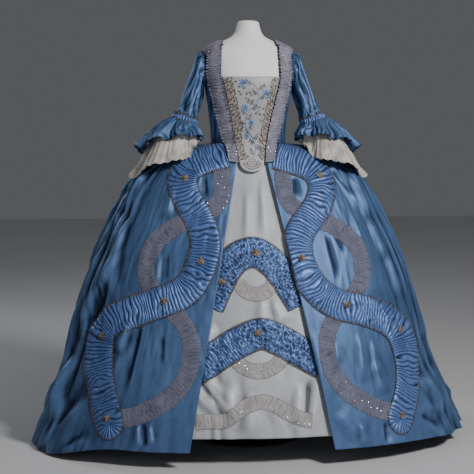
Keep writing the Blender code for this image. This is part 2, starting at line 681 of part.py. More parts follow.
# Middle lines of the applied trims in front view, by x and height, with columns for each side of the gown.
# At the waist the furbelow keeps below the hip's shelf, and is narrower.
TrimPair = namedtuple("TrimPair", "left_x left_z right_x right_z")
FURBELOW = (
    TrimPair(0.108, 0.982, 0.112, 0.984),
    TrimPair(0.145, 0.974, 0.155, 0.978),
    TrimPair(0.188, 0.961, 0.202, 0.962),
    TrimPair(0.222, 0.938, 0.230, 0.936),
    TrimPair(0.238, 0.910, 0.238, 0.908),
    TrimPair(0.238, 0.882, 0.232, 0.880),
    TrimPair(0.222, 0.839, 0.214, 0.847),
    TrimPair(0.190, 0.797, 0.193, 0.806),
    TrimPair(0.160, 0.757, 0.173, 0.755),
    TrimPair(0.146, 0.706, 0.168, 0.706),
    TrimPair(0.150, 0.655, 0.178, 0.664),
    TrimPair(0.165, 0.614, 0.200, 0.614),
    TrimPair(0.191, 0.577, 0.230, 0.575),
    TrimPair(0.228, 0.541, 0.264, 0.551),
    TrimPair(0.280, 0.515, 0.308, 0.533),
    TrimPair(0.338, 0.498, 0.357, 0.515),
    TrimPair(0.393, 0.480, 0.410, 0.495),
    TrimPair(0.444, 0.456, 0.460, 0.472),
    TrimPair(0.487, 0.420, 0.500, 0.443),
    TrimPair(0.511, 0.372, 0.523, 0.404),
    TrimPair(0.521, 0.316, 0.530, 0.350),
    TrimPair(0.518, 0.260, 0.528, 0.294),
    TrimPair(0.508, 0.212, 0.522, 0.240),
    TrimPair(0.490, 0.168, 0.508, 0.185),
    TrimPair(0.470, 0.128, 0.494, 0.130),
    TrimPair(0.458, 0.096, 0.488, 0.092),
)
TrimPoint = namedtuple("TrimPoint", "x z")
SKIRT_NET = (
    TrimPoint(0.106, 0.958),
    TrimPoint(0.104, 0.925),
    TrimPoint(0.109, 0.880),
    TrimPoint(0.130, 0.838),
    TrimPoint(0.190, 0.806),
    TrimPoint(0.255, 0.777),
    TrimPoint(0.312, 0.742),
    TrimPoint(0.350, 0.695),
    TrimPoint(0.366, 0.640),
    TrimPoint(0.360, 0.588),
    TrimPoint(0.332, 0.545),
    TrimPoint(0.284, 0.503),
    TrimPoint(0.242, 0.452),
    TrimPoint(0.224, 0.395),
    TrimPoint(0.228, 0.335),
    TrimPoint(0.255, 0.275),
    TrimPoint(0.298, 0.232),
    TrimPoint(0.348, 0.198),
    TrimPoint(0.400, 0.173),
    TrimPoint(0.437, 0.161),
)
UPPER_ARC = (
    TrimPoint(-0.165, 0.514),
    TrimPoint(-0.131, 0.583),
    TrimPoint(-0.099, 0.638),
    TrimPoint(-0.061, 0.675),
    TrimPoint(-0.006, 0.690),
    TrimPoint(0.046, 0.664),
    TrimPoint(0.089, 0.614),
    TrimPoint(0.123, 0.562),
    TrimPoint(0.150, 0.514),
)
LOWER_ARC = (
    TrimPoint(-0.226, 0.310),
    TrimPoint(-0.154, 0.354),
    TrimPoint(-0.111, 0.381),
    TrimPoint(-0.062, 0.408),
    TrimPoint(0.007, 0.430),
    TrimPoint(0.070, 0.409),
    TrimPoint(0.114, 0.384),
    TrimPoint(0.167, 0.354),
    TrimPoint(0.212, 0.330),
)
UPPER_GARLAND = (
    TrimPoint(-0.068, 0.598),
    TrimPoint(-0.043, 0.566),
    TrimPoint(-0.004, 0.553),
    TrimPoint(0.036, 0.566),
    TrimPoint(0.058, 0.598),
)
MIDDLE_GARLAND = (
    TrimPoint(-0.096, 0.363),
    TrimPoint(-0.052, 0.324),
    TrimPoint(-0.004, 0.312),
    TrimPoint(0.044, 0.324),
    TrimPoint(0.090, 0.362),
)
LOWER_GARLAND = (
    TrimPoint(-0.222, 0.152),
    TrimPoint(-0.172, 0.158),
    TrimPoint(-0.122, 0.158),
    TrimPoint(-0.085, 0.180),
    TrimPoint(-0.044, 0.207),
    TrimPoint(0.000, 0.217),
    TrimPoint(0.044, 0.206),
    TrimPoint(0.085, 0.181),
    TrimPoint(0.126, 0.162),
    TrimPoint(0.172, 0.152),
)
ROSETTES_ON_FURBELOW = (
    TrimPair(0.232, 0.934, 0.229, 0.929),
    TrimPair(0.151, 0.666, 0.186, 0.658),
    TrimPair(0.297, 0.511, 0.307, 0.529),
    TrimPair(0.492, 0.415, 0.516, 0.408),
    TrimPair(0.478, 0.144, 0.500, 0.153),
)
ROSETTES_ON_ARCS = (TrimPoint(0.000, 0.686), TrimPoint(-0.117, 0.594), TrimPoint(-0.004, 0.431))


def panel_faces(grid, wrap=False):
    """The triangles of a panel's front, which faces away from +Y."""
    rows, columns = grid.shape[:2]
    faces = np.array(grid_faces(rows, columns, wrap))
    corners = grid.reshape(-1, 3)[faces]
    return corners[corners[:, :, 1].mean(axis=1) < 0]


def laid_on(panel, x, z):
    """Places on a panel's own flat faces, found in front view, and how those faces look outwards."""
    x, z = np.asarray(x, float), np.asarray(z, float)
    corner_x, corner_z = panel[..., 0], panel[..., 2]
    ab_x, ac_x = (corner_x[:, k : k + 1] - corner_x[:, :1] for k in (1, 2))
    ab_z, ac_z = (corner_z[:, k : k + 1] - corner_z[:, :1] for k in (1, 2))
    from_x = x.reshape(1, -1) - corner_x[:, :1]
    from_z = z.reshape(1, -1) - corner_z[:, :1]
    area = ab_x * ac_z - ac_x * ab_z
    area = np.where(np.abs(area) < 1e-9, 1e-9, area)
    v = (from_x * ac_z - ac_x * from_z) / area
    w = (ab_x * from_z - from_x * ab_z) / area
    inside = np.minimum(np.minimum(v, w), 1 - v - w)
    best = np.argmax(inside, axis=0)
    pick = np.arange(best.size)
    v, w = v[best, pick], w[best, pick]
    corners = panel[best]
    y = corners[:, 0, 1] * (1 - v - w) + corners[:, 1, 1] * v + corners[:, 2, 1] * w
    normal = np.cross(corners[:, 1] - corners[:, 0], corners[:, 2] - corners[:, 0])
    normal *= -np.sign(normal[:, 1:2]) / np.linalg.norm(normal, axis=1)[:, None]
    found = np.stack([x.reshape(-1), y, z.reshape(-1)], axis=-1)
    return found.reshape(*x.shape, 3), normal.reshape(*x.shape, 3)


def curve_through(points, count):
    """Evenly spaced places on a smooth curve through a trim's points, with the direction there."""
    p = np.array(points, float)
    padded = np.vstack([2 * p[0] - p[1], p, 2 * p[-1] - p[-2]])
    fine = []
    for k in range(len(p) - 1):
        a, b, c, d = padded[k : k + 4]
        s = np.linspace(0, 1, 30, endpoint=False)[:, None]
        cubic = 2 * b + (c - a) * s + (2 * a - 5 * b + 4 * c - d) * s**2 + (3 * b - a - 3 * c + d) * s**3
        fine.append(0.5 * cubic)
    fine = np.vstack([*fine, p[-1:]])
    along = np.concatenate([[0], np.cumsum(np.linalg.norm(np.diff(fine, axis=0), axis=1))])
    at = np.linspace(0, along[-1], count)
    places = np.stack([np.interp(at, along, fine[:, k]) for k in (0, 1)], axis=1)
    ways = np.gradient(places, axis=0)
    return places, ways / np.linalg.norm(ways, axis=1)[:, None]


def build_trim(name, panel, points, look, strip):
    """A strip sewn along a panel: plain beneath, and puffed above in one gather to every two sections."""
    places, ways = curve_through(points, strip.sections)
    across = np.array([-1.0, -0.45, 0.45, 1.0]) if strip.puff > strip.wall else np.array([-1.0, 0.0, 1.0])
    widening = ease(np.linspace(0, 1, strip.sections) / 0.16)
    width = strip.start_share + (1 - strip.start_share) * widening
    reach = strip.half * width[:, None] * across[None, :]
    x = places[:, :1] - ways[:, 1:] * reach
    z = places[:, 1:] + ways[:, :1] * reach
    under, normal = laid_on(panel, x, z)
    ridge = np.where(np.arange(strip.sections) % 2 == 0, 1.0, LOW_RIDGE)
    raised = strip.wall + strip.puff * np.outer(ridge, np.sqrt(np.clip(1 - np.abs(across) ** 2.5, 0, 1)))
    inside = under + normal * strip.gap
    outside = under + normal * (strip.gap + raised)[..., None]
    applied(name, inside, outside, look, flip=True)
    return panel_faces(outside)


def build_rosette(name, strip, place):
    """A small button of gathered ribbon: six petals round a raised middle, resting on a strip."""
    petals = 6
    centre, normal = laid_on(strip, [place.x], [place.z])
    centre, normal = centre[0], normal[0]
    side = np.cross([0.0, 0.0, 1.0], normal)
    side /= np.linalg.norm(side)
    up = np.cross(normal, side)
    angle = np.arange(2 * petals) * math.pi / petals
    rim = np.where(np.arange(2 * petals) % 2 == 0, ROSETTE_RADIUS, ROSETTE_NOTCH)
    reach = np.array([0.0, 0.5, 1.0])[:, None] * ROSETTE_RADIUS
    beneath, _ = laid_on(strip, place.x + reach * np.cos(angle) * side[0], place.z + reach * np.sin(angle))
    height = ((beneath - centre) @ normal).max() + PART_GAP
    rings = []
    for radius, rise in ((rim, 0.0), (rim * 0.45, ROSETTE_RISE)):
        ring = centre + normal * (height + rise)
        rings.append(ring + radius[:, None] * (np.outer(np.cos(angle), side) + np.outer(np.sin(angle), up)))
    columns = 2 * petals
    faces = grid_faces(2, columns, True)
    faces.append([c for c in range(columns)][::-1])
    faces.append([columns + c for c in range(columns)])
    new_object(name, np.concatenate(rings), faces, RIBBON)


def place_on(pair, side):
    """The place of one side of the gown from a row that holds both."""
    if side > 0:
        return TrimPoint(pair.left_x, pair.left_z)
    return TrimPoint(-pair.right_x, pair.right_z)


def build_trims():
    """The furbelows and nets on the gown's fronts, and the arcs and garlands on the petticoat."""
    for side, word in ((1, "left"), (-1, "right")):
        panel = panel_faces(skirt_grid(side))
        path = [place_on(r, side) for r in FURBELOW]
        net = [(side * p.x, p.z) for p in SKIRT_NET]
        strip = build_trim(f"furbelow_{word}", panel, path, BLUE, FURBELOW_STRIP)
        build_trim(f"net_{word}", panel, net, NET, NET_STRIP)
        for count, pair in enumerate(ROSETTES_ON_FURBELOW, 1):
            build_rosette(f"rosette_{word}_{count}", strip, place_on(pair, side))
    panel = panel_faces(petticoat_grid(), wrap=True)
    for name, path, places in (("arc_upper", UPPER_ARC, (1, 2)), ("arc_lower", LOWER_ARC, (3,))):
        strip = build_trim(name, panel, path, BLUE, ARC_STRIP)
        for count in places:
            build_rosette(f"rosette_arc_{count}", strip, ROSETTES_ON_ARCS[count - 1])
    build_trim("garland_upper", panel, UPPER_GARLAND, IVORY, GARLAND_STRIP)
    build_trim("garland_middle", panel, MIDDLE_GARLAND, IVORY, GARLAND_STRIP)
    build_trim("garland_lower", panel, LOWER_GARLAND, IVORY, LONG_GARLAND_STRIP)


GOWN = bpy.data.collections.new("robe a la francaise")


def main():
    build_form_and_stand()
    build_petticoat()
    build_stomacher()
    build_sack_back()
    for side, word in ((1, "left"), (-1, "right")):
        build_bodice(side, f"bodice_{word}")
        build_skirt(side, f"skirt_{word}")
        build_sleeve(side, f"sleeve_{word}")
        build_flounces(side, word)
        build_robing(side, f"robing_{word}")
    build_trims()


for old in list(bpy.data.objects):
    bpy.data.objects.remove(old)
bpy.context.scene.collection.children.link(GOWN)
BLUE = material("blue taffeta", (0.10, 0.20, 0.42), 0.35)
IVORY = material("ivory taffeta", (0.62, 0.60, 0.58), 0.45)
IVORY_SATIN = material("ivory satin", (0.55, 0.53, 0.52), 0.40)
LACE_WHITE = material("linen lace", (0.70, 0.66, 0.58), 0.80)
NET = material("gathered silver net", (0.38, 0.36, 0.42), 0.55)
RIBBON = material("rosette ribbon", (0.45, 0.33, 0.28), 0.60)
LINEN = material("form cover", (0.72, 0.70, 0.68), 0.75)
STEEL = material("painted steel", (0.05, 0.05, 0.055), 0.45, 0.6)
main()
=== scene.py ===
"""Looks for a robe a la francaise on a dress form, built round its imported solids.

Metres, +Z up. The wearer faces -Y, and +X is the wearer's left. The surfaces repeat the part's own sizes.
"""

import math
from collections import namedtuple

import bpy
import numpy as np
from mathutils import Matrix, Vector
from mathutils.bvhtree import BVHTree


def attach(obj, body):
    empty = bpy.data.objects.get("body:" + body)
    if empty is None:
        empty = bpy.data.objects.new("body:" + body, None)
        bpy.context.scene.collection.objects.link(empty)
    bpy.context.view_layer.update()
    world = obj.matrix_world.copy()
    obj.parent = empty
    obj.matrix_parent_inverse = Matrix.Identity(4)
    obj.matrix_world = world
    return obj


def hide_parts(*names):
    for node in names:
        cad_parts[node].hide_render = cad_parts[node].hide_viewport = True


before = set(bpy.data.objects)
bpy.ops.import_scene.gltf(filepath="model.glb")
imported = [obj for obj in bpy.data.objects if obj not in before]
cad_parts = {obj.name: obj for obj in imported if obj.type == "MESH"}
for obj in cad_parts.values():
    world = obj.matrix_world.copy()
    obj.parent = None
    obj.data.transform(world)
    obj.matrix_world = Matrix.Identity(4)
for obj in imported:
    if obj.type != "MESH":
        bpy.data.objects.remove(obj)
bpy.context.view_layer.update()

WAIST_Z = 1.045
FRONT_HEM_Z = 0.060
LEFT_HEM_Z = 0.048
RIGHT_HEM_Z = 0.006
TRAIN_HEM_Z = 0.0014
PETTICOAT_HEM_Z = 0.100
NECKLINE_Z = 1.276
SHOULDER_TOP_Z = 1.402
FORM_BOTTOM_Z = 0.850
FORM_TOP_Z = 1.473
ROUNDNESS = 2.25
GOWN_LIFT = 0.0050
SEAM = 0.0004
SILK_WALL = 0.0008

FormRow = namedtuple("FormRow", "z half_width front back exponent")
FORM = (
    FormRow(FORM_BOTTOM_Z, 0.148, 0.096, 0.112, 2.3),
    FormRow(0.900, 0.152, 0.100, 0.116, 2.3),
    FormRow(0.950, 0.146, 0.098, 0.108, 2.3),
    FormRow(1.000, 0.134, 0.094, 0.095, 2.25),
    FormRow(WAIST_Z, 0.126, 0.092, 0.085, ROUNDNESS),
    FormRow(1.090, 0.127, 0.096, 0.084, ROUNDNESS),
    FormRow(1.140, 0.132, 0.102, 0.085, ROUNDNESS),
    FormRow(1.190, 0.139, 0.108, 0.088, ROUNDNESS),
    FormRow(1.243, 0.147, 0.111, 0.090, ROUNDNESS),
    FormRow(NECKLINE_Z, 0.150, 0.107, 0.091, 2.2),
    FormRow(1.305, 0.151, 0.098, 0.090, 2.2),
    FormRow(1.335, 0.152, 0.087, 0.086, 2.2),
    FormRow(1.355, 0.150, 0.078, 0.080, 2.15),
    FormRow(1.367, 0.146, 0.073, 0.075, 2.15),
    FormRow(1.380, 0.134, 0.067, 0.069, 2.1),
    FormRow(1.391, 0.113, 0.060, 0.062, 2.05),
    FormRow(SHOULDER_TOP_Z, 0.088, 0.053, 0.056, 2.0),
    FormRow(1.412, 0.066, 0.048, 0.050, 2.0),
    FormRow(1.424, 0.052, 0.044, 0.045, 2.0),
    FormRow(1.440, 0.044, 0.041, 0.042, 2.0),
    FormRow(1.458, 0.039, 0.038, 0.039, 2.0),
    FormRow(1.468, 0.034, 0.033, 0.034, 2.0),
    FormRow(FORM_TOP_Z, 0.020, 0.020, 0.020, 2.0),
)
SkirtRow = namedtuple("SkirtRow", "down fall half_width front back seam_x")
SKIRT = (
    SkirtRow(0.00, 0.000, 0.1310, 0.0970, 0.0900, 0.1224),
    SkirtRow(0.05, 0.006, 0.188, 0.103, 0.102, 0.129),
    SkirtRow(0.10, 0.020, 0.250, 0.112, 0.120, 0.138),
    SkirtRow(0.16, 0.050, 0.325, 0.128, 0.148, 0.151),
    SkirtRow(0.23, 0.110, 0.397, 0.156, 0.190, 0.170),
    SkirtRow(0.32, 0.205, 0.452, 0.200, 0.245, 0.200),
    SkirtRow(0.46, 0.370, 0.533, 0.274, 0.330, 0.254),
    SkirtRow(0.61, 0.565, 0.597, 0.350, 0.425, 0.322),
    SkirtRow(0.78, 0.760, 0.648, 0.420, 0.530, 0.400),
    SkirtRow(0.91, 0.900, 0.705, 0.462, 0.630, 0.460),
    SkirtRow(1.00, 1.000, 0.752, 0.487, 0.730, 0.500),
)
Fold = namedtuple("Fold", "phi width hem_depth")
SIDE_FOLDS = (
    Fold(60.0, 5.0, 0.012),
    Fold(73.0, 5.5, 0.017),
    Fold(87.0, 5.5, 0.020),
    Fold(101.0, 5.5, 0.022),
    Fold(115.0, 5.5, 0.024),
    Fold(129.0, 5.5, 0.024),
)
SackRow = namedtuple("SackRow", "z middle")
SACK = (
    SackRow(TRAIN_HEM_Z, 0.790),
    SackRow(0.130, 0.690),
    SackRow(0.273, 0.612),
    SackRow(0.470, 0.512),
    SackRow(0.669, 0.412),
    SackRow(0.837, 0.330),
    SackRow(0.923, 0.288),
    SackRow(WAIST_Z, 0.222),
    SackRow(1.140, 0.176),
    SackRow(1.243, 0.136),
    SackRow(1.335, 0.101),
    SackRow(1.380, 0.0762),
    SackRow(1.391, 0.0684),
    SackRow(SHOULDER_TOP_Z, 0.0618),
)
SleeveRow = namedtuple("SleeveRow", "x y z half_height half_depth lean")
SLEEVE = (
    SleeveRow(0.167, -0.002, 1.299, 0.0588, 0.044, 80.3),
    SleeveRow(0.174, -0.004, 1.277, 0.0425, 0.046, 66.4),
    SleeveRow(0.187, -0.009, 1.236, 0.0345, 0.046, 38.4),
    SleeveRow(0.201, -0.018, 1.195, 0.0345, 0.045, 20.6),
    SleeveRow(0.2135, -0.027, 1.1545, 0.0373, 0.045, 18.0),
    SleeveRow(0.224, -0.034, 1.127, 0.0386, 0.046, 16.5),
)
FlounceRow = namedtuple("FlounceRow", "turn reach drop")
SILK_FLOUNCE = (
    FlounceRow(0, 0.125, 0.105),
    FlounceRow(45, 0.110, 0.150),
    FlounceRow(90, 0.065, 0.120),
    FlounceRow(135, 0.035, 0.085),
    FlounceRow(180, 0.018, 0.066),
    FlounceRow(225, 0.030, 0.045),
    FlounceRow(270, 0.050, 0.048),
    FlounceRow(315, 0.075, 0.066),
    FlounceRow(360, 0.125, 0.105),
)
LACE_FLOUNCE = (
    FlounceRow(0, 0.150, 0.215),
    FlounceRow(45, 0.100, 0.185),
    FlounceRow(90, 0.050, 0.140),
    FlounceRow(135, 0.026, 0.115),
    FlounceRow(180, 0.014, 0.094),
    FlounceRow(225, 0.020, 0.100),
    FlounceRow(270, 0.038, 0.128),
    FlounceRow(315, 0.105, 0.150),
    FlounceRow(360, 0.150, 0.215),
)
STOMACHER_Z = (0.985, 1.045, 1.12, 1.20, NECKLINE_Z, 1.33, 1.38, SHOULDER_TOP_Z)
STOMACHER_HALF = (0.0425, 0.0525, 0.067, 0.084, 0.101, 0.100, 0.096, 0.080)
STOMACHER_TIP_Z = 0.952
SIDE_SEAM_PHI, ARMHOLE_PHI, ARMHOLE_Z, ARMHOLE_HALF_PHI, ARMHOLE_HALF_Z = 112.0, 92.0, 1.305, 21.0, 0.062
OPENING_TOP, OPENING_HEM, OPENING_SLOPE = 0.054, 0.238, 0.2015
RobingRow = namedtuple("RobingRow", "inner_x inner_z outer_x outer_z")
ROBING_FRONT = (
    RobingRow(0.0455, 0.982, 0.080, 0.986),
    RobingRow(0.048, 1.008, 0.083, 1.009),
    RobingRow(0.050, 1.026, 0.086, 1.027),
    RobingRow(0.052, 1.039, 0.089, 1.040),
    RobingRow(0.053, 1.047, 0.091, 1.048),
    RobingRow(0.059, 1.090, 0.104, 1.092),
    RobingRow(0.070, 1.140, 0.114, 1.141),
    RobingRow(0.081, 1.190, 0.125, 1.190),
    RobingRow(0.094, 1.243, 0.138, 1.243),
    RobingRow(0.1015, 1.276, 0.1435, 1.275),
    RobingRow(0.1010, 1.305, 0.1450, 1.303),
    RobingRow(0.1000, 1.335, 0.1440, 1.329),
    RobingRow(0.0985, 1.360, 0.1420, 1.346),
)
RobingTurn = namedtuple("RobingTurn", "inner_phi inner_z outer_phi outer_z lift")
ROBING_NECK = (
    RobingTurn(44.0, 1.381, 72.0, 1.3570, 0.0020),
    RobingTurn(50.0, 1.392, 78.0, 1.3620, 0.0022),
    RobingTurn(60.0, 1.398, 84.0, 1.3665, 0.0026),
    RobingTurn(71.0, 1.401, 90.0, 1.3705, 0.0034),
    RobingTurn(84.0, 1.402, 97.0, 1.3745, 0.0052),
    RobingTurn(98.0, 1.403, 106.0, 1.3775, 0.0075),
    RobingTurn(112.0, 1.403, 117.0, 1.3800, 0.0085),
    RobingTurn(128.0, 1.403, 131.0, 1.3825, 0.0090),
    RobingTurn(146.0, 1.403, 147.0, 1.3840, 0.0090),
    RobingTurn(163.0, 1.403, 163.0, 1.3850, 0.0090),
    RobingTurn(179.8, 1.403, 179.8, 1.3850, 0.0090),
)

# Middle lines of the trims, by x and height in front view
BLUE_BAND_LEFT = (
    (0.084, 1.012), (0.133, 0.996), (0.189, 0.976), (0.223, 0.949), (0.238, 0.917), (0.238, 0.882),
    (0.222, 0.839), (0.192, 0.799), (0.160, 0.762), (0.144, 0.716), (0.147, 0.665), (0.165, 0.616),
    (0.191, 0.577), (0.227, 0.541), (0.278, 0.513), (0.338, 0.498), (0.393, 0.480), (0.443, 0.457),
    (0.488, 0.419), (0.511, 0.372), (0.521, 0.316), (0.518, 0.260), (0.508, 0.210), (0.489, 0.168),
    (0.471, 0.131),
)
BLUE_BAND_RIGHT = (
    (-0.088, 1.016), (-0.150, 1.001), (-0.206, 0.978), (-0.232, 0.949), (-0.239, 0.915), (-0.231, 0.880),
    (-0.214, 0.847), (-0.193, 0.806), (-0.174, 0.760), (-0.168, 0.712), (-0.178, 0.666), (-0.200, 0.614),
    (-0.226, 0.577), (-0.262, 0.551), (-0.306, 0.533), (-0.357, 0.515), (-0.410, 0.495), (-0.460, 0.472),
    (-0.500, 0.441), (-0.523, 0.404), (-0.530, 0.350), (-0.528, 0.294), (-0.522, 0.240), (-0.508, 0.185),
    (-0.495, 0.134),
)
NET_BAND = (
    (0.106, 0.965), (0.104, 0.925), (0.107, 0.880), (0.130, 0.838), (0.190, 0.806), (0.255, 0.777),
    (0.312, 0.742), (0.350, 0.695), (0.366, 0.640), (0.360, 0.588), (0.332, 0.545), (0.284, 0.503),
    (0.242, 0.452), (0.224, 0.395), (0.228, 0.335), (0.255, 0.275), (0.298, 0.232), (0.348, 0.198),
    (0.400, 0.173), (0.437, 0.161), (0.462, 0.156),
)
UPPER_ARC = (
    (-0.165, 0.514), (-0.131, 0.583), (-0.099, 0.638), (-0.061, 0.675), (-0.006, 0.690), (0.046, 0.664),
    (0.089, 0.614), (0.123, 0.562), (0.150, 0.514),
)
LOWER_ARC = (
    (-0.226, 0.310), (-0.154, 0.354), (-0.111, 0.381), (-0.062, 0.408), (0.007, 0.430), (0.070, 0.409),
    (0.114, 0.384), (0.167, 0.354), (0.212, 0.330),
)
GARLANDS = {
    "upper": ((-0.068, 0.598), (-0.043, 0.566), (-0.004, 0.553), (0.036, 0.566), (0.058, 0.598)),
    "middle": ((-0.096, 0.363), (-0.052, 0.324), (-0.004, 0.312), (0.044, 0.324), (0.090, 0.362)),
    "lower": ((-0.222, 0.152), (-0.172, 0.158), (-0.122, 0.158), (-0.085, 0.180), (-0.044, 0.207),
              (0.000, 0.217), (0.044, 0.206), (0.085, 0.181), (0.126, 0.162), (0.172, 0.152)),
}
ROSETTES = {
    "left": ((0.232, 0.934), (0.151, 0.666), (0.297, 0.511), (0.492, 0.415), (0.478, 0.144)),
    "right": ((0.229, 0.929), (0.186, 0.658), (0.307, 0.529), (0.516, 0.408), (0.500, 0.153)),
}
ROSETTES_ON_ARCS = ((0.000, 0.686), (-0.117, 0.594), (-0.004, 0.431))
BAND_HALF, BAND_CREST, EDGE_RISE = 0.048, 0.0109, 0.0032
BAND_CRUMPLE = {"left": 0.08, "right": 0.16}
ARC_CREST, ARC_CRUMPLE = 0.0094, 0.90
NET_HALF, NET_SEQUINS = 0.0285, 60
GARLAND_HALF, GARLAND_SEQUINS = 0.0235, 14
ROSETTE_HEIGHT, ARC_ROSETTE_HEIGHT = 0.0100, 0.0086
# The petticoat lies this far inside the gown's front
UNDER_LIFT = -0.010

# Sizes that the pieces are cut to, in metres and square metres, for one of each
UPPER_ARC_CUT = (0.12, 0.62)
LOWER_ARC_CUT = (0.12, 0.62)

# Creases, listed in the order of a Crease's names. Each runs between two places and dies away at both
# ends. Depth is over 0 for a ridge.
Crease = namedtuple("Crease", "start_u start_v end_u end_v width depth")
FRONT_CREASES_LEFT = (
    (0.251, 1.015, 0.397, 0.791, 0.012, 0.0060), (0.333, 0.992, 0.418, 0.765, 0.014, 0.0070),
    (0.272, 0.967, 0.363, 0.854, 0.007, -0.0055), (0.339, 0.835, 0.403, 0.520, 0.016, 0.0050),
    (0.394, 0.800, 0.457, 0.640, 0.010, 0.0050), (0.453, 0.680, 0.507, 0.509, 0.012, 0.0045),
    (0.240, 0.750, 0.279, 0.583, 0.005, -0.0055), (0.263, 0.762, 0.309, 0.676, 0.005, -0.0050),
    (0.143, 0.935, 0.146, 0.865, 0.006, -0.0040), (0.335, 0.430, 0.341, 0.258, 0.010, 0.0040),
    (0.381, 0.331, 0.419, 0.215, 0.012, 0.0040), (0.386, 0.403, 0.394, 0.281, 0.007, 0.0025),
    (0.253, 0.400, 0.257, 0.330, 0.008, 0.0022), (0.600, 0.400, 0.640, 0.239, 0.009, -0.0060),
    (0.646, 0.395, 0.704, 0.191, 0.010, 0.0070), (0.564, 0.267, 0.690, 0.118, 0.022, 0.0080),
    (0.506, 0.422, 0.553, 0.196, 0.012, -0.0040), (0.553, 0.140, 0.661, 0.072, 0.012, -0.0060),
    (0.326, 0.140, 0.338, 0.063, 0.008, 0.0030), (0.416, 0.140, 0.424, 0.061, 0.007, -0.0035),
    (0.173, 0.448, 0.224, 0.144, 0.010, 0.0020), (0.240, 0.180, 0.330, 0.090, 0.020, 0.0025),
)
FRONT_CREASES_RIGHT = (
    (0.386, 0.470, 0.459, 0.222, 0.010, -0.0105), (0.417, 0.470, 0.464, 0.353, 0.008, 0.0080),
    (0.434, 0.710, 0.642, 0.348, 0.013, 0.0095), (0.485, 0.603, 0.554, 0.411, 0.009, -0.0085),
    (0.740, 0.010, 0.582, 0.371, 0.012, 0.0110), (0.740, 0.010, 0.555, 0.212, 0.014, 0.0100),
    (0.700, 0.030, 0.560, 0.300, 0.009, -0.0080), (0.316, 0.432, 0.324, 0.324, 0.007, -0.0035),
    (0.386, 0.155, 0.377, 0.069, 0.005, -0.0045), (0.402, 0.148, 0.396, 0.069, 0.005, 0.0045),
    (0.363, 0.150, 0.354, 0.076, 0.005, 0.0040), (0.661, 0.023, 0.552, 0.090, 0.010, 0.0060),
    (0.458, 0.841, 0.529, 0.631, 0.010, -0.0085), (0.425, 0.814, 0.496, 0.504, 0.010, 0.0090),
    (0.511, 0.737, 0.594, 0.487, 0.012, 0.0090), (0.346, 0.982, 0.425, 0.794, 0.010, 0.0085),
    (0.394, 0.963, 0.459, 0.775, 0.009, -0.0070), (0.320, 0.721, 0.336, 0.556, 0.008, 0.0035),
    (0.272, 0.901, 0.291, 0.799, 0.009, 0.0045), (0.163, 0.942, 0.161, 0.862, 0.006, -0.0040),
    (0.208, 0.453, 0.199, 0.303, 0.010, 0.0020), (0.665, 0.240, 0.714, 0.033, 0.012, -0.0090),
    (0.610, 0.338, 0.679, 0.105, 0.011, 0.0080), (0.294, 0.689, 0.303, 0.589, 0.006, -0.0025),
)
# On the sides and behind, u is the plan angle in metres of hem, 0.0105 to the degree
SIDE_CREASES = (
    (0.80, 1.00, 0.86, 0.62, 0.014, 0.0090), (0.88, 0.98, 0.92, 0.55, 0.012, -0.0080),
    (0.95, 1.01, 1.00, 0.48, 0.016, 0.0095), (1.05, 0.99, 1.08, 0.60, 0.012, -0.0085),
    (1.12, 1.00, 1.17, 0.42, 0.015, 0.0100), (1.20, 0.97, 1.24, 0.55, 0.012, 0.0080),
    (0.84, 0.55, 0.80, 0.10, 0.016, 0.0095), (0.93, 0.60, 0.97, 0.14, 0.013, -0.0090),
    (1.02, 0.50, 1.00, 0.06, 0.018, 0.0105), (1.11, 0.48, 1.14, 0.08, 0.014, -0.0085),
    (1.20, 0.52, 1.25, 0.06, 0.017, 0.0100), (1.30, 0.60, 1.30, 0.10, 0.013, -0.0070),
    (0.74, 0.30, 0.86, 0.05, 0.015, 0.0080), (0.90, 0.22, 1.02, 0.03, 0.013, 0.0075),
)
PETTICOAT_CREASES = (
    (-0.246, 0.279, -0.152, 0.177, 0.011, 0.0075), (-0.208, 0.302, -0.088, 0.167, 0.013, 0.0080),
    (-0.245, 0.223, -0.180, 0.127, 0.010, 0.0065), (-0.220, 0.300, -0.120, 0.190, 0.008, -0.0060),
    (-0.108, 0.280, -0.086, 0.120, 0.014, 0.0050), (-0.031, 0.258, -0.041, 0.100, 0.018, 0.0045),
    (0.129, 0.275, 0.110, 0.105, 0.014, 0.0050), (0.160, 0.290, 0.146, 0.110, 0.010, -0.0045),
    (0.192, 0.303, 0.164, 0.119, 0.013, 0.0060), (0.014, 0.545, 0.010, 0.440, 0.010, 0.0030),
    (-0.149, 0.471, -0.187, 0.353, 0.010, 0.0050), (-0.020, 0.900, -0.030, 0.700, 0.008, 0.0030),
    (0.030, 0.930, 0.034, 0.720, 0.009, 0.0030), (0.050, 0.540, 0.080, 0.450, 0.012, 0.0040),
)


def smooth_column(rows, key, column, at):
    """The value of one named column at the given key, on a smooth curve through the rows."""
    xs = np.array([getattr(r, key) for r in rows], float)
    ys = np.array([getattr(r, column) for r in rows], float)
    slopes = np.gradient(ys, xs)
    at = np.clip(np.asarray(at, float), xs[0], xs[-1])
    i = np.clip(np.searchsorted(xs, at) - 1, 0, len(xs) - 2)
    h = xs[i + 1] - xs[i]
    s = (at - xs[i]) / h
    return (
        (2 * s**3 - 3 * s**2 + 1) * ys[i]
        + (s**3 - 2 * s**2 + s) * h * slopes[i]
        + (3 * s**2 - 2 * s**3) * ys[i + 1]
        + (s**3 - s**2) * h * slopes[i + 1]
    )


def plan_sizes(rows, key, at, lift=0.0):
    """The half width, front and back depth of a section, let out by lift."""
    return [smooth_column(rows, key, c, at) + lift for c in ("half_width", "front", "back")]


def skirt_half(down):
    return smooth_column(SKIRT, "down", "half_width", down)


def skirt_fall(down):
    return smooth_column(SKIRT, "down", "fall", down)


def unit(vectors):
    return vectors / np.maximum(np.linalg.norm(vectors, axis=-1, keepdims=True), 1e-12)


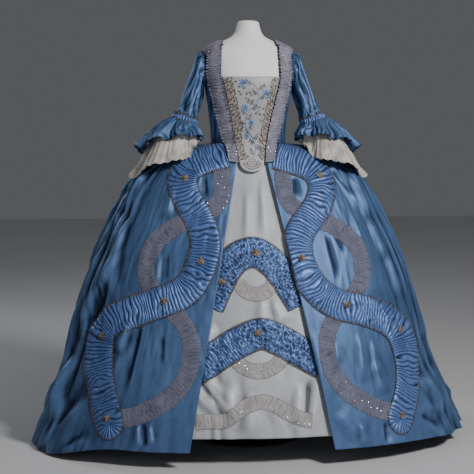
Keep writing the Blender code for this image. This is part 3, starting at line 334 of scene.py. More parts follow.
def facing(normals, way):
    """The normals, turned to the side that way points to."""
    return normals * np.sign((normals * way).sum(-1, keepdims=True))


def run_of(line):
    """The distance along a line at each of its points."""
    return np.concatenate([[0], np.cumsum(np.linalg.norm(np.diff(line, axis=0), axis=-1))])


def line_at(at, along, line):
    return np.stack([np.interp(at, along, c) for c in line.T], axis=1)


def ease(x):
    x = np.clip(x, 0.0, 1.0)
    return x * x * (3 - 2 * x)


def noise(u, v, seed):
    """Smooth noise from -1 to 1, one swell to each unit of u and v."""
    u, v = np.broadcast_arrays(np.asarray(u, float), np.asarray(v, float))
    i, j = np.floor(u), np.floor(v)
    s, t = ease(u - i), ease(v - j)

    def corner(a, b):
        wave = np.sin(a * 127.1 + b * 311.7 + seed * 74.7) * 43758.5453
        return 2 * (wave - np.floor(wave)) - 1

    low = corner(i, j) * (1 - s) + corner(i + 1, j) * s
    high = corner(i, j + 1) * (1 - s) + corner(i + 1, j + 1) * s
    return low * (1 - t) + high * t


def crease_relief(table, u, v):
    """The height of the listed creases, each steeper on one side than on the other."""
    total = np.zeros(np.broadcast(u, v).shape)
    for c in map(Crease._make, table):
        du, dv = c.end_u - c.start_u, c.end_v - c.start_v
        long = math.hypot(du, dv)
        t = ((u - c.start_u) * du + (v - c.start_v) * dv) / long**2
        off = ((u - c.start_u) * dv - (v - c.start_v) * du) / long
        width = np.where(off > 0, 1.5 * c.width, 3.8 * c.width) * (0.7 + 0.6 * np.clip(t, 0, 1))
        total += c.depth * np.maximum(0, 1 - np.abs(off / width)) * ease(t / 0.3) * ease((1 - t) / 0.35)
    return total


def tent_wave(phase):
    """A wave of flat slopes between sharp crests and sharp valleys, from -0.5 to 0.5."""
    return 0.5 - 2 * np.abs(phase - np.floor(phase) - 0.5)


Swell = namedtuple("Swell", "height across up seed")
Folds = namedtuple("Folds", "height length wander wander_u wander_v seed slant "
                            "fading fade_u fade_v fade_seed", defaults=(0.0, 1.0, 1.0, 0))


def swell(layer, u, v, extra=0):
    """One layer of smooth unevenness. extra sets pieces of one kind apart."""
    return layer.height * noise(u / layer.across, v / layer.up, layer.seed + extra)


def swells(layers, u, v, extra=0):
    return sum(swell(layer, u, v, extra) for layer in layers)


def folds(f, u, v, extra=0):
    """Folds with flat slopes that run along v, wander, and die away here and there."""
    wander = f.wander * noise(u / f.wander_u, v / f.wander_v, f.seed + extra)
    lasting = 1 - f.fading + f.fading * noise(u / f.fade_u, v / f.fade_v, f.fade_seed + extra)
    return f.height * lasting * tent_wave(u / f.length + wander + f.slant * v)


def plan_point(phi, z, half_width, front, back, exponent):
    """A point of a rounded plan section: phi is 0 in front, 90 at the wearer's left, 180 behind."""
    angle = np.radians(phi)
    s, c = np.sin(angle), np.cos(angle)
    x = half_width * np.sign(s) * np.abs(s) ** (2 / exponent)
    y = -np.where(c > 0, front, back) * np.sign(c) * np.abs(c) ** (2 / exponent)
    return np.stack(np.broadcast_arrays(x, y, z), axis=-1)


def body_exponent(z):
    return smooth_column(FORM, "z", "exponent", z)


def phi_of_x(x, half_width, exponent=ROUNDNESS):
    return np.degrees(np.arcsin(np.clip(np.abs(x) / half_width, 0, 1) ** (exponent / 2)))


def body_point(phi, z, lift):
    return plan_point(phi, z, *plan_sizes(FORM, "z", z, lift), body_exponent(z))


def hem_z(phi, side):
    side_z = LEFT_HEM_Z if side > 0 else RIGHT_HEM_Z
    at_side = FRONT_HEM_Z + (side_z - FRONT_HEM_Z) * ease((phi - 35) / 35)
    return at_side + (TRAIN_HEM_Z - at_side) * ease((phi - 85) / 50)


def fold_relief(phi, down):
    relief = sum(f.hem_depth * np.exp(-(((phi - f.phi) / f.width) ** 2)) for f in SIDE_FOLDS)
    return relief * ease((down - 0.12) / 0.9)


def skirt_point(phi, down, side=1, lift=0.0):
    """A point on the gown's skirt. down runs from 0 at the waist to 1 at the hem."""
    z = WAIST_Z - skirt_fall(down) * (WAIST_Z - hem_z(phi, side))
    return plan_point(phi, z, *plan_sizes(SKIRT, "down", down, lift + fold_relief(phi, down)), ROUNDNESS)


def down_of_z(z, hem=FRONT_HEM_Z):
    fall = np.clip((WAIST_Z - np.asarray(z, float)) / (WAIST_Z - hem), 0, 1)
    steps = np.linspace(0, 1, 401)
    return np.interp(fall, skirt_fall(steps), steps)


def front_point(x, z, lift):
    """The point of the gown's front, bodice or skirt, at this x and height."""
    x, z = np.broadcast_arrays(np.asarray(x, float), np.asarray(z, float))
    down = down_of_z(z)
    above = z >= WAIST_Z
    body_half = smooth_column(FORM, "z", "half_width", z) + GOWN_LIFT + lift
    half = np.where(above, body_half, skirt_half(down) + lift)
    phi = phi_of_x(x, half, np.where(above, body_exponent(z), ROUNDNESS))
    on_body = body_point(phi, z, GOWN_LIFT + lift)
    found = np.where(above[..., None], on_body, skirt_point(phi, down, 1, lift))
    found[..., 0] = x
    found[..., 2] = z
    return found


def opening_half(down):
    drop = skirt_fall(down) * (WAIST_Z - FRONT_HEM_Z)
    return np.maximum(OPENING_TOP, OPENING_HEM - OPENING_SLOPE * (WAIST_Z - FRONT_HEM_Z - drop))


def side_seam_phi(down):
    return 180 - phi_of_x(smooth_column(SKIRT, "down", "seam_x", down), skirt_half(down))


def bodice_edge_phi(z, sign):
    """The edge that the bodice front (sign -1) and the back (sign +1) share."""
    z = np.asarray(z, float)
    low = ARMHOLE_Z - ARMHOLE_HALF_Z
    seam = SIDE_SEAM_PHI + (ARMHOLE_PHI - SIDE_SEAM_PHI) * ease((z - WAIST_Z) / (low - WAIST_Z))
    share = np.clip((z - ARMHOLE_Z) / ARMHOLE_HALF_Z, -1, 1)
    return np.where(z < low, seam, ARMHOLE_PHI + sign * ARMHOLE_HALF_PHI * np.sqrt(1 - share**2))


# Grids of points


def mirrored(points, side):
    return points * np.array([side, 1.0, 1.0])


def refine(points, rows, columns, wrap=False):
    """A finer grid on a smooth surface through a coarse one."""

    def along(p, count, closed):
        n = len(p)
        if closed:
            padded = np.concatenate([p[-1:], p, p[:2]])
            at = np.arange(count) * n / count
        else:
            padded = np.concatenate([2 * p[:1] - p[1:2], p, 2 * p[-1:] - p[-2:-1]])
            at = np.linspace(0, n - 1, count)
        i = np.minimum(at.astype(int), n - 1 if closed else n - 2)
        s = (at - i).reshape(-1, *[1] * (p.ndim - 1))
        a, b, c, d = (padded[i + k] for k in range(4))
        return b + 0.5 * ((c - a) * s + (2 * a - 5 * b + 4 * c - d) * s**2 + (3 * b - a - 3 * c + d) * s**3)

    finer = along(points, rows, False)
    return along(finer.swapaxes(0, 1), columns, wrap).swapaxes(0, 1)


def grid_normals(points, wrap=False):
    """Unit normals of a grid, towards the side where its columns run left to right and its rows up."""
    if wrap:
        across = np.roll(points, -1, axis=1) - np.roll(points, 1, axis=1)
    else:
        across = np.gradient(points, axis=1)
    return unit(np.cross(across, np.gradient(points, axis=0)))


def smoothed(values, reach):
    """A running mean down the rows."""
    padded = np.concatenate([np.repeat(values[:1], reach, 0), values, np.repeat(values[-1:], reach, 0)])
    total = np.cumsum(np.concatenate([np.zeros_like(padded[:1]), padded]), axis=0)
    return (total[2 * reach + 1 :] - total[: -2 * reach - 1]) / (2 * reach + 1)


def hollows(relief, reach, depth):
    """The fold value of a relief: how far each place lies under or over those within reach, in grid steps."""
    wide = smoothed(smoothed(relief, reach).T, reach).T
    return np.clip(0.5 + 0.5 * (relief - wide) / depth, 0, 1)


def tube(line, out, radius, sides=4):
    """A closed tube round a line, as a grid whose columns wrap. out is roughly square to the line."""
    ahead = unit(np.gradient(line, axis=0))
    beside = unit(np.cross(ahead, out))
    up = np.cross(beside, ahead)
    turn = np.arange(sides) * 2 * math.pi / sides
    ring = beside[:, None] * np.cos(turn)[:, None] + up[:, None] * np.sin(turn)[:, None]
    return line[:, None] + ring * radius


def quad_corners(rows, columns, wrap):
    """The rows and columns of the corners of a grid's quads. A wrapped grid has one round of quads more."""
    r, c = np.mgrid[: rows - 1, : columns if wrap else columns - 1]
    at_row = np.stack([r, r, r + 1, r + 1], -1).reshape(-1, 4)
    return at_row, np.stack([c, c + 1, c + 1, c], -1).reshape(-1, 4)


def add_object(name, data):
    made = bpy.data.objects.new(name, data)
    bpy.context.scene.collection.objects.link(made)
    return made


Part = namedtuple("Part", "points wrap flip fold")


def grid(points, wrap=False, flip=False, fold=None):
    """One grid of a piece. fold runs from 0 in a hollow to 1 on a crest, and is 0.5 on plain cloth."""
    points = np.asarray(points, float)
    fold = np.broadcast_to(0.5 if fold is None else fold, points.shape[:2])
    return Part(points, wrap, flip, fold)


def solid_mesh(name, parts, look, node=None, wall=0.0, smooth=True, lined=True):
    """One piece of the scene from grids of points, riding on the only body."""
    vertices, quads, coordinates, start = [], [], [], 0
    for p in parts:
        rows, columns = p.points.shape[:2]
        ring = np.concatenate([p.points, p.points[:, :1]], axis=1)
        steps_across = np.linalg.norm(np.diff(ring, axis=1), axis=-1).mean(axis=0)
        steps_up = np.linalg.norm(np.diff(p.points, axis=0), axis=-1).mean(axis=1)
        at_column = np.concatenate([[0], np.cumsum(steps_across)])
        at_row = np.concatenate([[0], np.cumsum(steps_up)])
        r, c = quad_corners(rows, columns, p.wrap)
        face, u, v = r * columns + c % columns + start, at_column[c], at_row[r]
        if p.flip:
            face, u, v = face[:, ::-1], u[:, ::-1], v[:, ::-1]
        vertices.append(p.points.reshape(-1, 3))
        quads.append(face)
        coordinates.append(np.stack([u, v], -1).reshape(-1, 2))
        start += rows * columns
    vertices, quads = np.concatenate(vertices), np.concatenate(quads)
    mesh = bpy.data.meshes.new(name)
    mesh.vertices.add(len(vertices))
    mesh.vertices.foreach_set("co", vertices.astype(np.float32).ravel())
    mesh.loops.add(quads.size)
    mesh.loops.foreach_set("vertex_index", quads.ravel().astype(np.int32))
    mesh.polygons.add(len(quads))
    mesh.polygons.foreach_set("loop_start", np.arange(0, quads.size, 4, dtype=np.int32))
    mesh.update(calc_edges=True)
    layer = mesh.uv_layers.new(name="UVMap")
    layer.data.foreach_set("uv", np.concatenate(coordinates).astype(np.float32).ravel())
    if smooth:
        mesh.shade_smooth()
    fold = np.concatenate([p.fold.reshape(-1) for p in parts]).astype(np.float32)
    mesh.attributes.new("fold", "FLOAT", "POINT").data.foreach_set("value", fold)
    mesh.materials.append(look)
    made = add_object(name, mesh)
    if wall:
        shell = made.modifiers.new("Wall", "SOLIDIFY")
        shell.thickness = wall
        shell.offset = -1.0
        shell.use_rim_only = not lined
    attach(made, "root")
    if node:
        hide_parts(node)
    return made


def tree_of(points, wrap=False):
    """A search tree over a grid of points."""
    columns = points.shape[1]
    r, c = quad_corners(*points.shape[:2], wrap)
    return BVHTree.FromPolygons(points.reshape(-1, 3).tolist(), (r * columns + c % columns).tolist())


def nearest_on(tree, points):
    found = [tree.find_nearest(Vector(p))[0] for p in points.reshape(-1, 3).tolist()]
    return np.array([tuple(p) for p in found]).reshape(points.shape)


# Looks


def node(look, kind, inputs=None, **settings):
    """A shader node, with its inputs linked from sockets or set to values."""
    made = look.node_tree.nodes.new(kind)
    for key, value in settings.items():
        setattr(made, key, value)
    for key, value in (inputs or {}).items():
        if isinstance(value, bpy.types.NodeSocket):
            look.node_tree.links.new(value, made.inputs[key])
        else:
            made.inputs[key].default_value = value
    return made


def new_look(name, roughness, **more):
    look = bpy.data.materials.new(name)
    look.use_nodes = True
    shader = look.node_tree.nodes["Principled BSDF"]
    shader.inputs["Roughness"].default_value = roughness
    for key, value in more.items():
        shader.inputs[key.replace("_", " ").title()].default_value = value
    return look, shader


def mix(look, factor, first, second, blend="MIX"):
    made = node(look, "ShaderNodeMix", data_type="RGBA", blend_type=blend)
    for key, value in ((0, factor), (6, first), (7, second)):
        if isinstance(value, bpy.types.NodeSocket):
            look.node_tree.links.new(value, made.inputs[key])
        else:
            made.inputs[key].default_value = value
    return made.outputs[2]


def texture(look, scale, detail=2.0, where="Object", stretch=(1, 1, 1), kind="ShaderNodeTexNoise",
            **settings):
    """A procedural texture in metres, with its own stretch."""
    place = node(look, "ShaderNodeTexCoord")
    mapped = node(look, "ShaderNodeMapping", {"Vector": place.outputs[where], "Scale": stretch})
    made = node(look, kind, {"Vector": mapped.outputs[0], "Scale": scale}, **settings)
    if "Detail" in made.inputs:
        made.inputs["Detail"].default_value = detail
    return made


def ramp(look, factor, low, high):
    made = node(look, "ShaderNodeMapRange", {"Value": factor, "From Min": low, "From Max": high})
    return made.outputs[0]


def finished(look, shader, colour, layers):
    """Gives a look its colour, and bumps of a height socket, strength and depth in metres each."""
    look.node_tree.links.new(colour, shader.inputs["Base Color"])
    before = None
    for height, strength, depth in layers:
        inputs = {"Height": height, "Strength": strength, "Distance": depth}
        if before is not None:
            inputs["Normal"] = before
        before = node(look, "ShaderNodeBump", inputs).outputs[0]
    if before is not None:
        look.node_tree.links.new(before, shader.inputs["Normal"])
    return look


def rgb(*values):
    return (*values, 1.0)


def fold_of(look):
    return node(look, "ShaderNodeAttribute", attribute_name="fold").outputs["Fac"]


def shaded_folds(look, colour, low, high, shade):
    """The colour with painted shade: darker in the bottom of the gathers, where little light comes."""
    fold = fold_of(look)
    painted_shade = mix(look, 1.0, colour, rgb(shade, shade, 1.15 * shade), "MULTIPLY")
    return mix(look, ramp(look, fold, low, high), painted_shade, colour)


# A painted highlight: the crests of folds are made this much lighter in colour
PAINTED_CREST_HIGHLIGHT = rgb(1.45, 1.40, 1.35)
RIDGED = {"noise_type": "RIDGED_MULTIFRACTAL"}
VORONOI = {"where": "UV", "kind": "ShaderNodeTexVoronoi"}
LATTICE = {"where": "UV", "kind": "ShaderNodeTexWave", "bands_direction": "DIAGONAL"}


def silk_look(name, dark, light, shot, roughness, crumple, gloss=0.1, gathered=False):
    """Crisp plain silk: shot colour, slubs in the weave, and small crumples that catch the light."""
    look, shader = new_look(name, roughness, metallic=gloss)
    shader.inputs["Specular IOR Level"].default_value = 0.22
    cloud = texture(look, 5.0, 3.0).outputs[0]
    slub = texture(look, 60.0, 2.0, "UV", (1.0, 14.0, 1.0)).outputs[0]
    colour = mix(look, ramp(look, cloud, 0.35, 0.68), rgb(*dark), rgb(*light))
    colour = mix(look, ramp(look, slub, 0.45, 0.95), colour, rgb(*shot))
    # Painted light from the fold values: painted shade darkens the hollows, and on plain silk a painted
    # highlight lightens the crests
    if gathered:
        colour = shaded_folds(look, colour, 0.15, 0.80, 0.06)
    else:
        lit = mix(look, 1.0, colour, PAINTED_CREST_HIGHLIGHT, "MULTIPLY")
        colour = mix(look, ramp(look, fold_of(look), 0.52, 0.92), colour, lit)
        colour = shaded_folds(look, colour, 0.05, 0.50, 0.22)
    limits = {"Value": cloud, "To Min": roughness - 0.07, "To Max": roughness + 0.1}
    spread = node(look, "ShaderNodeMapRange", limits).outputs[0]
    look.node_tree.links.new(spread, shader.inputs["Roughness"])
    ridges = texture(look, 7.0, 2.0, stretch=(1.6, 1.6, 0.5), **RIDGED).outputs[0]
    fine = texture(look, 26.0, 2.0, stretch=(1.0, 1.0, 0.6), **RIDGED).outputs[0]
    weave = texture(look, 420.0, 0.0, "UV").outputs[0]
    return finished(look, shader, colour, [
        (ridges, 0.30 * crumple, 0.006),
        (fine, 0.25 * crumple, 0.0014),
        (slub, 0.12, 0.0006),
        (weave, 0.10, 0.0003),
    ])


def net_look(name, thread, gap, mesh_scale):
    """Gathered net: pale threads in a diamond mesh over what lies beneath."""
    look, shader = new_look(name, 0.75)
    shader.inputs["Specular IOR Level"].default_value = 0.2
    ways = [texture(look, mesh_scale, 0.0, stretch=(s, 1, 1), **LATTICE).outputs["Fac"] for s in (1, -1)]
    lattice = node(look, "ShaderNodeMath", dict(enumerate(ways)), operation="MAXIMUM").outputs[0]
    patch = texture(look, 26.0, 3.0).outputs[0]
    base = mix(look, ramp(look, patch, 0.35, 0.7), rgb(*gap), rgb(*thread))
    colour = mix(look, ramp(look, lattice, 0.55, 0.95), base, rgb(*thread))
    colour = shaded_folds(look, colour, 0.10, 0.60, 0.45)
    return finished(look, shader, colour, [(lattice, 0.5, 0.0008), (patch, 0.3, 0.0015)])


def speckled_look(name, first, second, scale, roughness, edges=(0.42, 0.60), detail=2.0, relief=(0.4, 0.0006),
                  **more):
    """Two colours in soft patches, with a low relief of the same patches."""
    look, shader = new_look(name, roughness, **more)
    spots = texture(look, scale, detail).outputs[0]
    colour = mix(look, ramp(look, spots, *edges), rgb(*first), rgb(*second))
    return finished(look, shader, colour, [(spots, *relief)] if relief else [])


def lace_look():
    """Cream lace: close leaves and scrolls on an open ground."""
    look, shader = new_look("linen lace", 0.8, sheen_weight=0.4)
    leaves = texture(look, 34.0, 1.5, feature="SMOOTH_F1", **VORONOI).outputs["Distance"]
    ground = texture(look, 300.0, 0.0, **LATTICE).outputs["Fac"]
    drift = texture(look, 22.0, 3.0).outputs[0]
    colour = mix(look, ramp(look, leaves, 0.25, 0.62), rgb(0.66, 0.63, 0.58), rgb(0.40, 0.37, 0.33))
    colour = mix(look, ramp(look, drift, 0.40, 0.75), colour, rgb(0.72, 0.70, 0.67))
    holes = texture(look, 120.0, 1.0, feature="DISTANCE_TO_EDGE", **VORONOI).outputs["Distance"]
    colour = mix(look, ramp(look, holes, 0.10, 0.34), colour, rgb(0.30, 0.27, 0.23))
    colour = shaded_folds(look, colour, 0.0, 0.5, 0.5)
    return finished(look, shader, colour, [(leaves, 0.6, 0.0016), (ground, 0.25, 0.0004)])


def form_look():
    look, shader = new_look("form cover", 0.72, sheen_weight=0.2)
    knit = texture(look, 900.0, 0.0, kind="ShaderNodeTexWave", bands_direction="Z").outputs["Fac"]
    drift = texture(look, 7.0, 3.0).outputs[0]
    colour = mix(look, ramp(look, drift, 0.3, 0.7), rgb(0.86, 0.84, 0.83), rgb(0.91, 0.89, 0.88))
    return finished(look, shader, colour, [(knit, 0.08, 0.0003), (drift, 0.1, 0.002)])


# Silks by their dark, light and shot colour, roughness, crumple and gloss
BLUE = silk_look("blue taffeta", (0.050, 0.096, 0.206), (0.078, 0.151, 0.305), (0.115, 0.205, 0.39),
                 0.48, 0.5, 0.40)
# The ruched taffeta is the gown's own cloth in lighter colours: a painted highlight for the light its gathers
# catch
BLUE_RUCHED = silk_look("ruched blue taffeta", (0.070, 0.135, 0.34), (0.12, 0.215, 0.50), (0.20, 0.33, 0.64),
                        0.42, 0.4, 0.30, gathered=True)
IVORY = silk_look("ivory taffeta", (0.37, 0.39, 0.42), (0.45, 0.47, 0.505), (0.53, 0.55, 0.585), 0.48, 0.5)
SATIN = silk_look("ivory satin", (0.34, 0.34, 0.36), (0.42, 0.42, 0.45), (0.55, 0.55, 0.58), 0.42, 0.3)
# Nets by their thread and gap colour, and threads by two colours, the scale of the patches and roughness
NET = net_look("silver net", (0.165, 0.172, 0.235), (0.048, 0.055, 0.100), 150.0)
ROBING_NET = net_look("lilac net", (0.31, 0.30, 0.38), (0.045, 0.038, 0.060), 130.0)
IVORY_NET = net_look("ivory net", (0.44, 0.43, 0.42), (0.22, 0.21, 0.20), 150.0)
BRAID = speckled_look("looped braid", (0.030, 0.021, 0.018), (0.20, 0.145, 0.10), 180.0, 0.55)
THREAD = speckled_look("edge thread", (0.09, 0.075, 0.075), (0.26, 0.23, 0.22), 160.0, 0.6)
GOLD = speckled_look("gold brown silk thread", (0.055, 0.036, 0.028), (0.34, 0.25, 0.14), 130.0, 0.45)
BLUE_THREAD = speckled_look("blue silk thread", (0.06, 0.15, 0.34), (0.20, 0.38, 0.62), 150.0, 0.4)
LEAF_THREAD = speckled_look("grey green silk thread", (0.10, 0.10, 0.10), (0.26, 0.27, 0.24), 140.0, 0.5)
ROSE_THREAD = speckled_look("rose silk thread", (0.40, 0.20, 0.20), (0.55, 0.42, 0.42), 120.0, 0.5)
RIBBON = speckled_look("rosette ribbon", (0.070, 0.048, 0.045), (0.25, 0.19, 0.155), 110.0, 0.6)
SEQUIN = speckled_look("silver sequin", (0.80, 0.80, 0.84), (0.95, 0.94, 0.92), 60.0, 0.18, metallic=1.0)
LACE = lace_look()
FORM_COVER = form_look()
STEEL = speckled_look("painted steel", (0.045, 0.045, 0.050), (0.065, 0.065, 0.070), 240.0, 0.42,
                      (0.3, 0.7), 3.0, (0.15, 0.0004), metallic=0.5)


# The gown's large pieces

SIDES = ((1, "left"), (-1, "right"))

# The skirts' creases in front fade out before FRONT_END_PHI, and the cloth hangs free from FREE_PHI on
SKIRT_ROWS, NEAR_COLUMNS, FAR_COLUMNS = 206, 118, 156
GRID_TURN_PHI = 52.0
FRONT_END_PHI, FRONT_FADE = 86.0, 14.0
FREE_PHI, FREE_FADE = 46.0, 30.0
SEAM_FADE_PHI = 5.0
WAIST_FADE = 0.12
HEM_PER_DEGREE = 0.0105
SIDE_SHIFT = 0.02
CREASE_STRENGTH = 2.0
DEEPEST_FOLD = -0.018
SKIRT_HOLLOWS = (5, 0.0044)
CRUMPLING = {1: 1.0, -1: 1.7}
HELD_SHARE_LONG, HELD_SHARE_SHORT = 0.08, 0.18
SKIRT_SWELLS = (Swell(0.0030, 0.13, 0.34, 3), Swell(0.0006, 0.014, 0.04, 11))
LONG_FOLDS = Folds(0.0125, 0.105, 0.75, 0.25, 0.42, 7, 0.9, 0.45, 0.16, 0.33, 8)
CROSS_FOLDS = Folds(0.0060, 0.050, 0.8, 0.12, 0.20, 9, -1 / 0.30, 0.55, 0.10, 0.16, 10)
CRACKLE, CRACKLE_SLANT = Swell(0.0018, 0.021, 0.055, 13), 0.21
HEM_WAVE, HEM_WAVE_FROM = Swell(0.006, 0.05, 1.0, 21), 0.93


def silk_piece(name, points, fold, node, wrap=False, flip=False):
    """One piece of the gown's own silk, with a wall that goes inwards."""
    parts = [grid(points, wrap, flip, fold)]
    return solid_mesh(name, parts, BLUE, node, SILK_WALL, lined=False)


def built_skirt(side):
    """The fine grid of one side of the gown's skirt, hem first, and its fold values."""
    steps = np.linspace(0, 1, SKIRT_ROWS)
    down = (1 - 0.35 * ease(steps) - 0.65 * steps)[:, None]
    half = skirt_half(down)
    start = phi_of_x(opening_half(down), half)
    end = side_seam_phi(down) - np.degrees(SEAM / 2 / (0.6 * half))
    share = np.concatenate([np.linspace(0, 1, NEAR_COLUMNS, endpoint=False), np.linspace(1, 2, FAR_COLUMNS)])
    near = start + (GRID_TURN_PHI - start) * share
    far = GRID_TURN_PHI + (end - GRID_TURN_PHI) * (share - 1)
    phi = np.where(share < 1, near, far)
    down = np.broadcast_to(down, phi.shape)
    x, _, z = np.moveaxis(skirt_point(phi, down, side), -1, 0)
    around = HEM_PER_DEGREE * phi
    in_front = ease((FRONT_END_PHI - phi) / FRONT_FADE)
    free = ease((phi - FREE_PHI) / FREE_FADE)
    front_table = FRONT_CREASES_LEFT if side > 0 else FRONT_CREASES_RIGHT
    laid = crease_relief(front_table, x, z) * in_front
    laid += crease_relief(SIDE_CREASES, around, z + SIDE_SHIFT * side) * (1 - in_front)
    long = folds(LONG_FOLDS, around, z, side) * (HELD_SHARE_LONG + (1 - HELD_SHARE_LONG) * free)
    crackle = 0.3 * CRACKLE.height - np.abs(swell(CRACKLE, around + CRACKLE_SLANT * z, z, side))
    short = folds(CROSS_FOLDS, around, z, side) + crackle
    short = short * (HELD_SHARE_SHORT + (1 - HELD_SHARE_SHORT) * free)
    relief = CREASE_STRENGTH * laid + CRUMPLING[side] * (swells(SKIRT_SWELLS, around, z, side) + long + short)
    relief += ease((down - HEM_WAVE_FROM) / (1 - HEM_WAVE_FROM)) * free * swell(HEM_WAVE, around, 0.5, side)
    relief *= ease(down / WAIST_FADE) * ease((side_seam_phi(down) - phi) / SEAM_FADE_PHI)
    points = skirt_point(phi, down, side, np.maximum(relief, DEEPEST_FOLD))
    return mirrored(points, side), hollows(relief, *SKIRT_HOLLOWS)


def build_skirts():
    trees = {}
    for side, word in SIDES:
        points, fold = built_skirt(side)
        trees[word] = tree_of(points)
        piece = silk_piece(f"gown_skirt_{word}", points, fold, f"skirt_{word}", flip=side < 0)
    return trees


# Cross section of the box pleats from the middle of the back outwards: the share of the half width, and the
# layer, where each fold turns back under the next
PLEAT_SHARE = (0.00, 0.10, 0.055, 0.30, 0.235, 0.63, 0.555, 0.82, 0.755, 0.90, 1.00)
PLEAT_LAYER = (0.00, 0.05, 1.000, 1.05, 2.000, 2.00, 1.050, 1.00, 0.050, 0.00, 0.00)
PLEAT_STEP, FLUTE_STEP = 0.0085, 0.0115
PLEAT_COLUMNS, SACK_ROWS_BELOW, SACK_ROWS_ABOVE = 116, 105, 55
SACK_TOP_Z = 1.391
UNFOLD_FROM_Z, UNFOLD_OVER = 1.02, 0.75
FLATNESS = 0.85
SACK_HOLLOWS = (5, 0.0070)
EDGE_FADE = 0.1


def sack_points():
    """The fine grid of the pleated back, hem first: folded flat at the neck, opening into flutes below."""
    knots = np.cumsum([0.0, *np.maximum(np.abs(np.diff(PLEAT_SHARE)), 0.03)])
    q = np.linspace(0, knots[-1], PLEAT_COLUMNS)
    folded_share = np.interp(q, knots, PLEAT_SHARE)
    layer = smoothed(np.interp(q, knots, PLEAT_LAYER)[:, None], 1)[:, 0]
    open_share = np.interp(q, knots, np.linspace(0, 1, len(knots)) ** 1.1)
    heights = [*(WAIST_Z - skirt_fall(np.linspace(1, 0, SACK_ROWS_BELOW)) * (WAIST_Z - TRAIN_HEM_Z)),
               *np.linspace(WAIST_Z, SACK_TOP_Z, SACK_ROWS_ABOVE + 1)[1:]]
    made = []
    for z in heights:
        unfold = float(ease((UNFOLD_FROM_Z - z) / UNFOLD_OVER))
        share = folded_share + (open_share - folded_share) * unfold
        share = np.concatenate([share[::-1], -share[1:]])
        level = np.concatenate([layer[::-1], layer[1:]])
        made.append(sack_row(float(z), share, level, unfold))
    points, relief = zip(*made)
    return np.array(points), hollows(np.array(relief), *SACK_HOLLOWS)


def sack_row(z_middle, signed, level, unfold):
    """One row of the sack back at this height behind, from side to side, and its relief."""
    share = np.abs(signed)
    left = np.arange(len(signed)) < len(signed) // 2
    if z_middle > WAIST_Z:
        down = 0.0
        edge = float(bodice_edge_phi(z_middle, 1)) + np.degrees(SEAM / 0.1)
        points = body_point(180 - (180 - edge) * share, z_middle, GOWN_LIFT)
        flatness = FLATNESS * float(ease((1.375 - z_middle) / 0.16))
    else:
        down = float(down_of_z(z_middle, TRAIN_HEM_Z))
        edge = float(side_seam_phi(down)) + np.degrees(SEAM / 0.1) * (1 - 0.8 * float(ease(down / 0.3)))
        phi = 180 - (180 - edge) * share
        points = np.where(left[:, None], skirt_point(phi, down, 1), skirt_point(phi, down, -1))
        flatness = FLATNESS * float(ease(1 - down / 0.5))
    middle = float(smooth_column(SACK, "z", "middle", z_middle))
    edge_y = np.where(left, points[0, 1], points[-1, 1])
    back = points[len(share) // 2, 1]
    steep = ease((1 - share) / 0.3)
    within = ease((1 - share) / EDGE_FADE)
    flat = np.maximum(points[:, 1], edge_y + (back - edge_y) * steep)
    step = PLEAT_STEP + FLUTE_STEP * float(ease(down * 1.3))
    step *= 0.25 + 0.75 * float(ease((SHOULDER_TOP_Z - 0.022 - z_middle) / 0.12))
    wander = noise(share * 6 + left * 9, z_middle / 0.35, 31)
    pleats = step * (level - 1.2 * unfold * float(ease(down)) + 0.35 * unfold * wander) * within
    uneven = 0.0016 * noise(share * 24 + left * 5, z_middle / 0.09, 33)
    uneven += 0.0030 * unfold * noise(share * 11 + left * 7, z_middle / 0.16, 35)
    points[:, 0] *= np.where(left, 1.0, -1.0)
    points[:, 1] += (flat - points[:, 1]) * flatness + (middle - back) * steep + pleats
    points[:, 1] += uneven * within * (0.3 + 0.7 * unfold)
    points[:, 2] += (z_middle - points[:, 2]) * ease((1 - share) / 0.5)
    return points, pleats + uneven


def build_sack_back():
    points, fold = sack_points()
    piece = silk_piece("pleated_sack_back", points, fold, "sack_back")


BODICE_CREASES_LEFT = (
    (0.118, 1.240, 0.122, 1.080, 0.006, 0.0022), (0.134, 1.200, 0.124, 1.060, 0.005, -0.0022),
    (0.140, 1.260, 0.130, 1.150, 0.005, 0.0024),
)
BODICE_CREASES_RIGHT = (
    (0.132, 1.250, 0.120, 1.080, 0.005, 0.0036), (0.140, 1.230, 0.112, 1.060, 0.005, -0.0030),
    (0.122, 1.180, 0.105, 1.050, 0.005, 0.0028), (0.146, 1.350, 0.143, 1.280, 0.005, 0.0028),
)
BODICE_CREASE_STRENGTH = 1.4
BODICE_FOLDS = Folds(0.0026, 13.0, 0.8, 20.0, 0.11, 41, 1 / 0.16)
DEEPEST_ON_BODY = -0.0015
BODICE_HOLLOWS = (4, 0.0018)
BODICE_ROWS, BODICE_COLUMNS = 64, 44


def build_bodice(side, word):
    """One front of the bodice, drawn over the form, with slanting strain folds."""
    z = np.linspace(WAIST_Z + SEAM / 2, SACK_TOP_Z, BODICE_ROWS)[:, None]
    half = smooth_column(FORM, "z", "half_width", z) + GOWN_LIFT
    start = phi_of_x(np.interp(z, STOMACHER_Z, STOMACHER_HALF) + SEAM, half, body_exponent(z))
    end = bodice_edge_phi(z, -1) - np.degrees(SEAM / half)
    phi = start + (end - start) * np.linspace(0, 1, BODICE_COLUMNS)[None, :]
    x, _, _ = np.moveaxis(body_point(phi, z, GOWN_LIFT), -1, 0)
    table = BODICE_CREASES_LEFT if side > 0 else BODICE_CREASES_RIGHT
    relief = BODICE_CREASE_STRENGTH * crease_relief(table, x, z) + folds(BODICE_FOLDS, phi, z, side)
    relief *= ease((end - phi) / 6) * ease((phi - start) / 4) * ease((z - WAIST_Z) / 0.02)
    points = mirrored(body_point(phi, z, GOWN_LIFT + np.maximum(relief, DEEPEST_ON_BODY)), side)
    fold = hollows(relief, *BODICE_HOLLOWS)
    piece = silk_piece(f"bodice_front_{word}", points, fold, f"bodice_{word}", flip=side < 0)


